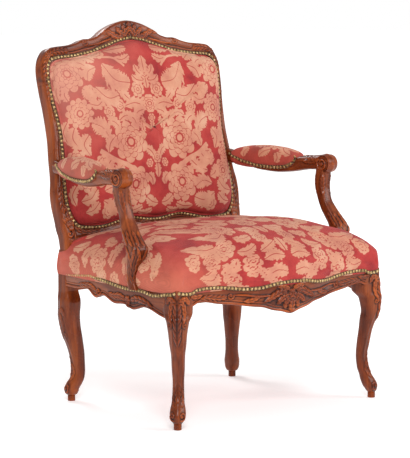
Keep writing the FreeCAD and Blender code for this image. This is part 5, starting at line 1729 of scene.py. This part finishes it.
# Along one flank of the right arm pad; side is 1 outside and -1 inside
def padNailLine(side):
    table = smoothLine([(float(a), float(b)) for a, b in padNail], 90)
    share = np.clip((pad["rearY"] - table[:, 0]) / pad["length"], 0, 1)
    low, top, width = steady(padRows, share)
    x = armX(table[:, 0]) + side * (np.minimum(width, 50.0) / 2 - 0.5)
    return np.stack([x, table[:, 0], table[:, 1] + 3.0], axis=-1)


for side, word in ((1, "Outer"), (-1, "Inner")):
    line = padNailLine(side)
    normals = np.broadcast_to([side * 1.0, 0, -0.25], line.shape).copy()
    tangent = np.gradient(line, axis=0)
    tangent /= np.linalg.norm(tangent, axis=1, keepdims=True)
    edging("padRight" + word, line, normals, np.cross(normals, tangent))
for name in ("padRightOuter", "padRightInner"):
    for kind, material in (("Braid", braid), ("Nails", brass)):
        twin = mirrorPiece(name.replace("Right", "Left") + kind, bpy.data.objects[name + kind])
        dress(twin, material)
bpy.data.objects.remove(nail)
print("nails ready")

# The back's rear cloth, and the webbing and burlap that carry the cushions

# Depths behind the back's front face
outsideLook = {"inset": 8.0, "outer": 32.6, "edge": 31.2, "inner": 29.8}
outsideLoop = insetLoop(backLoop, outsideLook["inset"], softness=3)
clothRows = [(k, outsideLook["outer"]) for k in np.linspace(0.01, 0.97, 60)]
clothRows += [(1.0, outsideLook["edge"])] + [(k, outsideLook["inner"]) for k in (1.0, 0.9, 0.5, 0.02)]
flatRings = np.asarray([backCentre + (outsideLoop - backCentre) * k for k, _ in clothRows])
rings = np.asarray([onBack(ring[:, 0], w, ring[:, 1]) for ring, (_, w) in zip(flatRings, clothRows)])
outsideCloth = gridPiece("backOutsideCloth", rings, around=True, capped=True,
                         fields={"motif": backDamask(flatRings[..., 0], flatRings[..., 1]),
                                 "wearAndPaintedLight": np.zeros(rings.shape[:2])})
dress(outsideCloth, damaskBack, ["back_outside_cloth"])


# A thin sheet between two closed loops of points
def slabPiece(name, loopTop, loopBottom):
    top, bottom = np.asarray(loopTop, float), np.asarray(loopBottom, float)
    centreTop, centreBottom = top.mean(axis=0), bottom.mean(axis=0)
    rings = [centreTop + (top - centreTop) * k for k in (0.02, 0.5, 1.0)]
    rings += [centreBottom + (bottom - centreBottom) * k for k in (1.0, 0.5, 0.02)]
    return gridPiece(name, rings, around=True, capped=True)


burlapLook = {"thick": 1.1, "backFront": 1.2, "seatTop": 347.8}
loop = insetLoop(backLoop, 14.0, softness=3)
backBurlap = slabPiece("backBurlap", *(
    onBack(loop[:, 0], burlapLook["backFront"] + thick, loop[:, 1]) for thick in (0.0, burlapLook["thick"])
))
dress(backBurlap, burlapMaterial, ["back_burlap"])
ring = seatRing(9.0, 22.0, 9.0, seatPad["points"])
top = withColumn(ring, burlapLook["seatTop"])
seatBurlap = slabPiece("seatBurlap", top, top - [0, 0, burlapLook["thick"]])
dress(seatBurlap, burlapMaterial, ["seat_burlap"])
webLook = {"width": 52.0, "thick": 0.8, "gap": 0.55, "seatZ": 345.7, "backDepth": 3.3}


# A flat strip that goes over and under the ones it crosses
def webStrip(name, start, end, crossings, phase, place):
    start, end = np.asarray(start, float), np.asarray(end, float)
    length = np.linalg.norm(end - start)
    t = np.linspace(0, 1, max(int(length / 6), 8))
    along = (end - start) / length
    side = np.array([-along[1], along[0]])
    middle = start + (end - start) * t[:, None]
    lift = np.zeros(len(t))
    for k, crossing in enumerate(crossings):
        near = np.exp(-(((t * length - crossing) / (0.62 * webLook["width"])) ** 4))
        lift += (1 if (k + phase) % 2 else -1) * near
    lift *= webLook["gap"]
    half, thick = webLook["width"] / 2, webLook["thick"] / 2
    profile = [(-half, thick), (0, thick), (half, thick), (half, -thick), (0, -thick), (-half, -thick)]
    points = np.stack([place(middle + side * a, lift + b) for a, b in profile], axis=1)
    return gridPiece(name, points, around=True, capped=True)


def onSeat(plan, lift):
    return np.concatenate([plan, (webLook["seatZ"] + lift)[:, None]], axis=1)


def onBackWeb(plan, lift):
    return onBack(plan[:, 0], webLook["backDepth"] + lift, plan[:, 1])


strips = []
xs = [-248.0, -124.0, 0.0, 124.0, 248.0]
ys = [-243.0, -143.0, -43.0, 57.0, 157.0]
for i, x in enumerate(xs):
    low, high = -300 + 0.05 * abs(x), 203.0 if abs(x) < 240 else 173.0
    strips.append(webStrip("seatWebUp%d" % i, (x, low), (x, high), [y - low for y in ys], i, onSeat))
for j, y in enumerate(ys):
    reach = sideX(y, 12.0)
    crossings = [x + reach for x in xs]
    strips.append(webStrip("seatWebAcross%d" % j, (-reach, y), (reach, y), crossings, j + 1, onSeat))
seatWeb = joinPieces("seatWebbing", strips)
dress(seatWeb, webMaterial, ["seat_webbing"])
strips = []
us, vs = [-150.0, 0.0, 150.0], [80.0, 220.0, 350.0]
for i, u in enumerate(us):
    low, high = 8.0, 434.0 if u == 0 else 398.0
    strips.append(webStrip("backWebUp%d" % i, (u, low), (u, high), [v - low for v in vs], i, onBackWeb))
for j, v in enumerate(vs):
    crossings = [u + 252 for u in us]
    strips.append(webStrip("backWebAcross%d" % j, (-252, v), (252, v), crossings, j + 1, onBackWeb))
backWeb = joinPieces("backWebbing", strips)
dress(backWeb, webMaterial, ["back_webbing"])
for piece, size in ((seatBurlap, (0.66, 0.51)), (backBurlap, (0.53, 0.44)), (outsideCloth, (0.55, 0.46))):
    half = sum(face.area for face in piece.data.polygons) / 2

# The CAD's own pieces that still show

for node, material in (
    ("rear_seat_rail", walnutX), ("front_corner_brace_right", beech), ("front_corner_brace_left", beech),
    ("rear_corner_brace_right", beech), ("rear_corner_brace_left", beech), ("seat_frame_pegs", beech),
    ("back_frame_pegs", beech), ("arm_pegs", beech),
):
    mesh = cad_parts[node].data
    mesh.materials.clear()
    mesh.materials.append(material)
print("upholstery ready")

# Camera, floor and lamps

view = {
    "place": (-3.864, -4.360, 1.058),
    "target": (-0.0313, -0.042, 0.4358),
    "lens": 183.19,
    "background": "#FFFFFF",
    "floor": "#F4F4F4",
    "glow": (0.8, 3.5, 0.3, 0.75),  # the floor's emission: near and far in metres, then its two strengths
}
bpy.ops.object.camera_add(location=view["place"])
camera = bpy.context.object
direction = Vector(view["target"]) - Vector(view["place"])
camera.rotation_euler = direction.to_track_quat("-Z", "Y").to_euler()
camera.data.lens = view["lens"]
camera.data.sensor_width = 36.0
camera.data.clip_end = 60.0
bpy.context.scene.camera = camera

bpy.ops.mesh.primitive_plane_add(size=60.0, location=(0, 0, 0))
floor = bpy.context.object
floor.name = "floor"
# White paper that glows more with distance, so that no horizon shows
floorMaterial, tree, place = newMaterial("floorPaper")
away = addNode(tree, "ShaderNodeVectorMath", {0: place.outputs["Object"]}, operation="LENGTH")
shade(floorMaterial, {
    "Base Color": toLinear(view["floor"]),
    "Roughness": 0.9,
    "Specular IOR Level": 0.0,
    "Emission Color": (1, 1, 1, 1),
    "Emission Strength": ranged(tree, away.outputs["Value"], *view["glow"]),
})
floor.data.materials.append(floorMaterial)

world = bpy.data.worlds.new("studio")
bpy.context.scene.world = world
world.use_nodes = True
tree = world.node_tree
tree.nodes.clear()
path = addNode(tree, "ShaderNodeLightPath")
seen = addNode(tree, "ShaderNodeBackground", {"Color": toLinear(view["background"]), "Strength": 1.0})
soft = addNode(tree, "ShaderNodeBackground", {"Color": (1, 1, 1, 1), "Strength": 0.5})
blend = addNode(tree, "ShaderNodeMixShader", {
    0: path.outputs["Is Camera Ray"], 1: soft.outputs["Background"], 2: seen.outputs["Background"],
})
addNode(tree, "ShaderNodeOutputWorld", {"Surface": blend.outputs["Shader"]})

lamps = [  # name, place, size, power
    ("key", (-2.6, -3.2, 3.4), 1.8, 122.0),
    ("fill", (2.6, -3.0, 2.2), 2.2, 60.0),
    ("rim", (0.5, 2.8, 3.2), 1.6, 60.0),
]
for name, place, size, power in lamps:
    bpy.ops.object.light_add(type="AREA", location=place)
    lamp = bpy.context.object
    lamp.name = name
    lamp.data.shape = "DISK"
    lamp.data.size = size
    lamp.data.energy = power
    aim = Vector((0, 0, 0.5)) - Vector(place)
    lamp.rotation_euler = aim.to_track_quat("-Z", "Y").to_euler()

bpy.context.scene.view_settings.view_transform = "Standard"
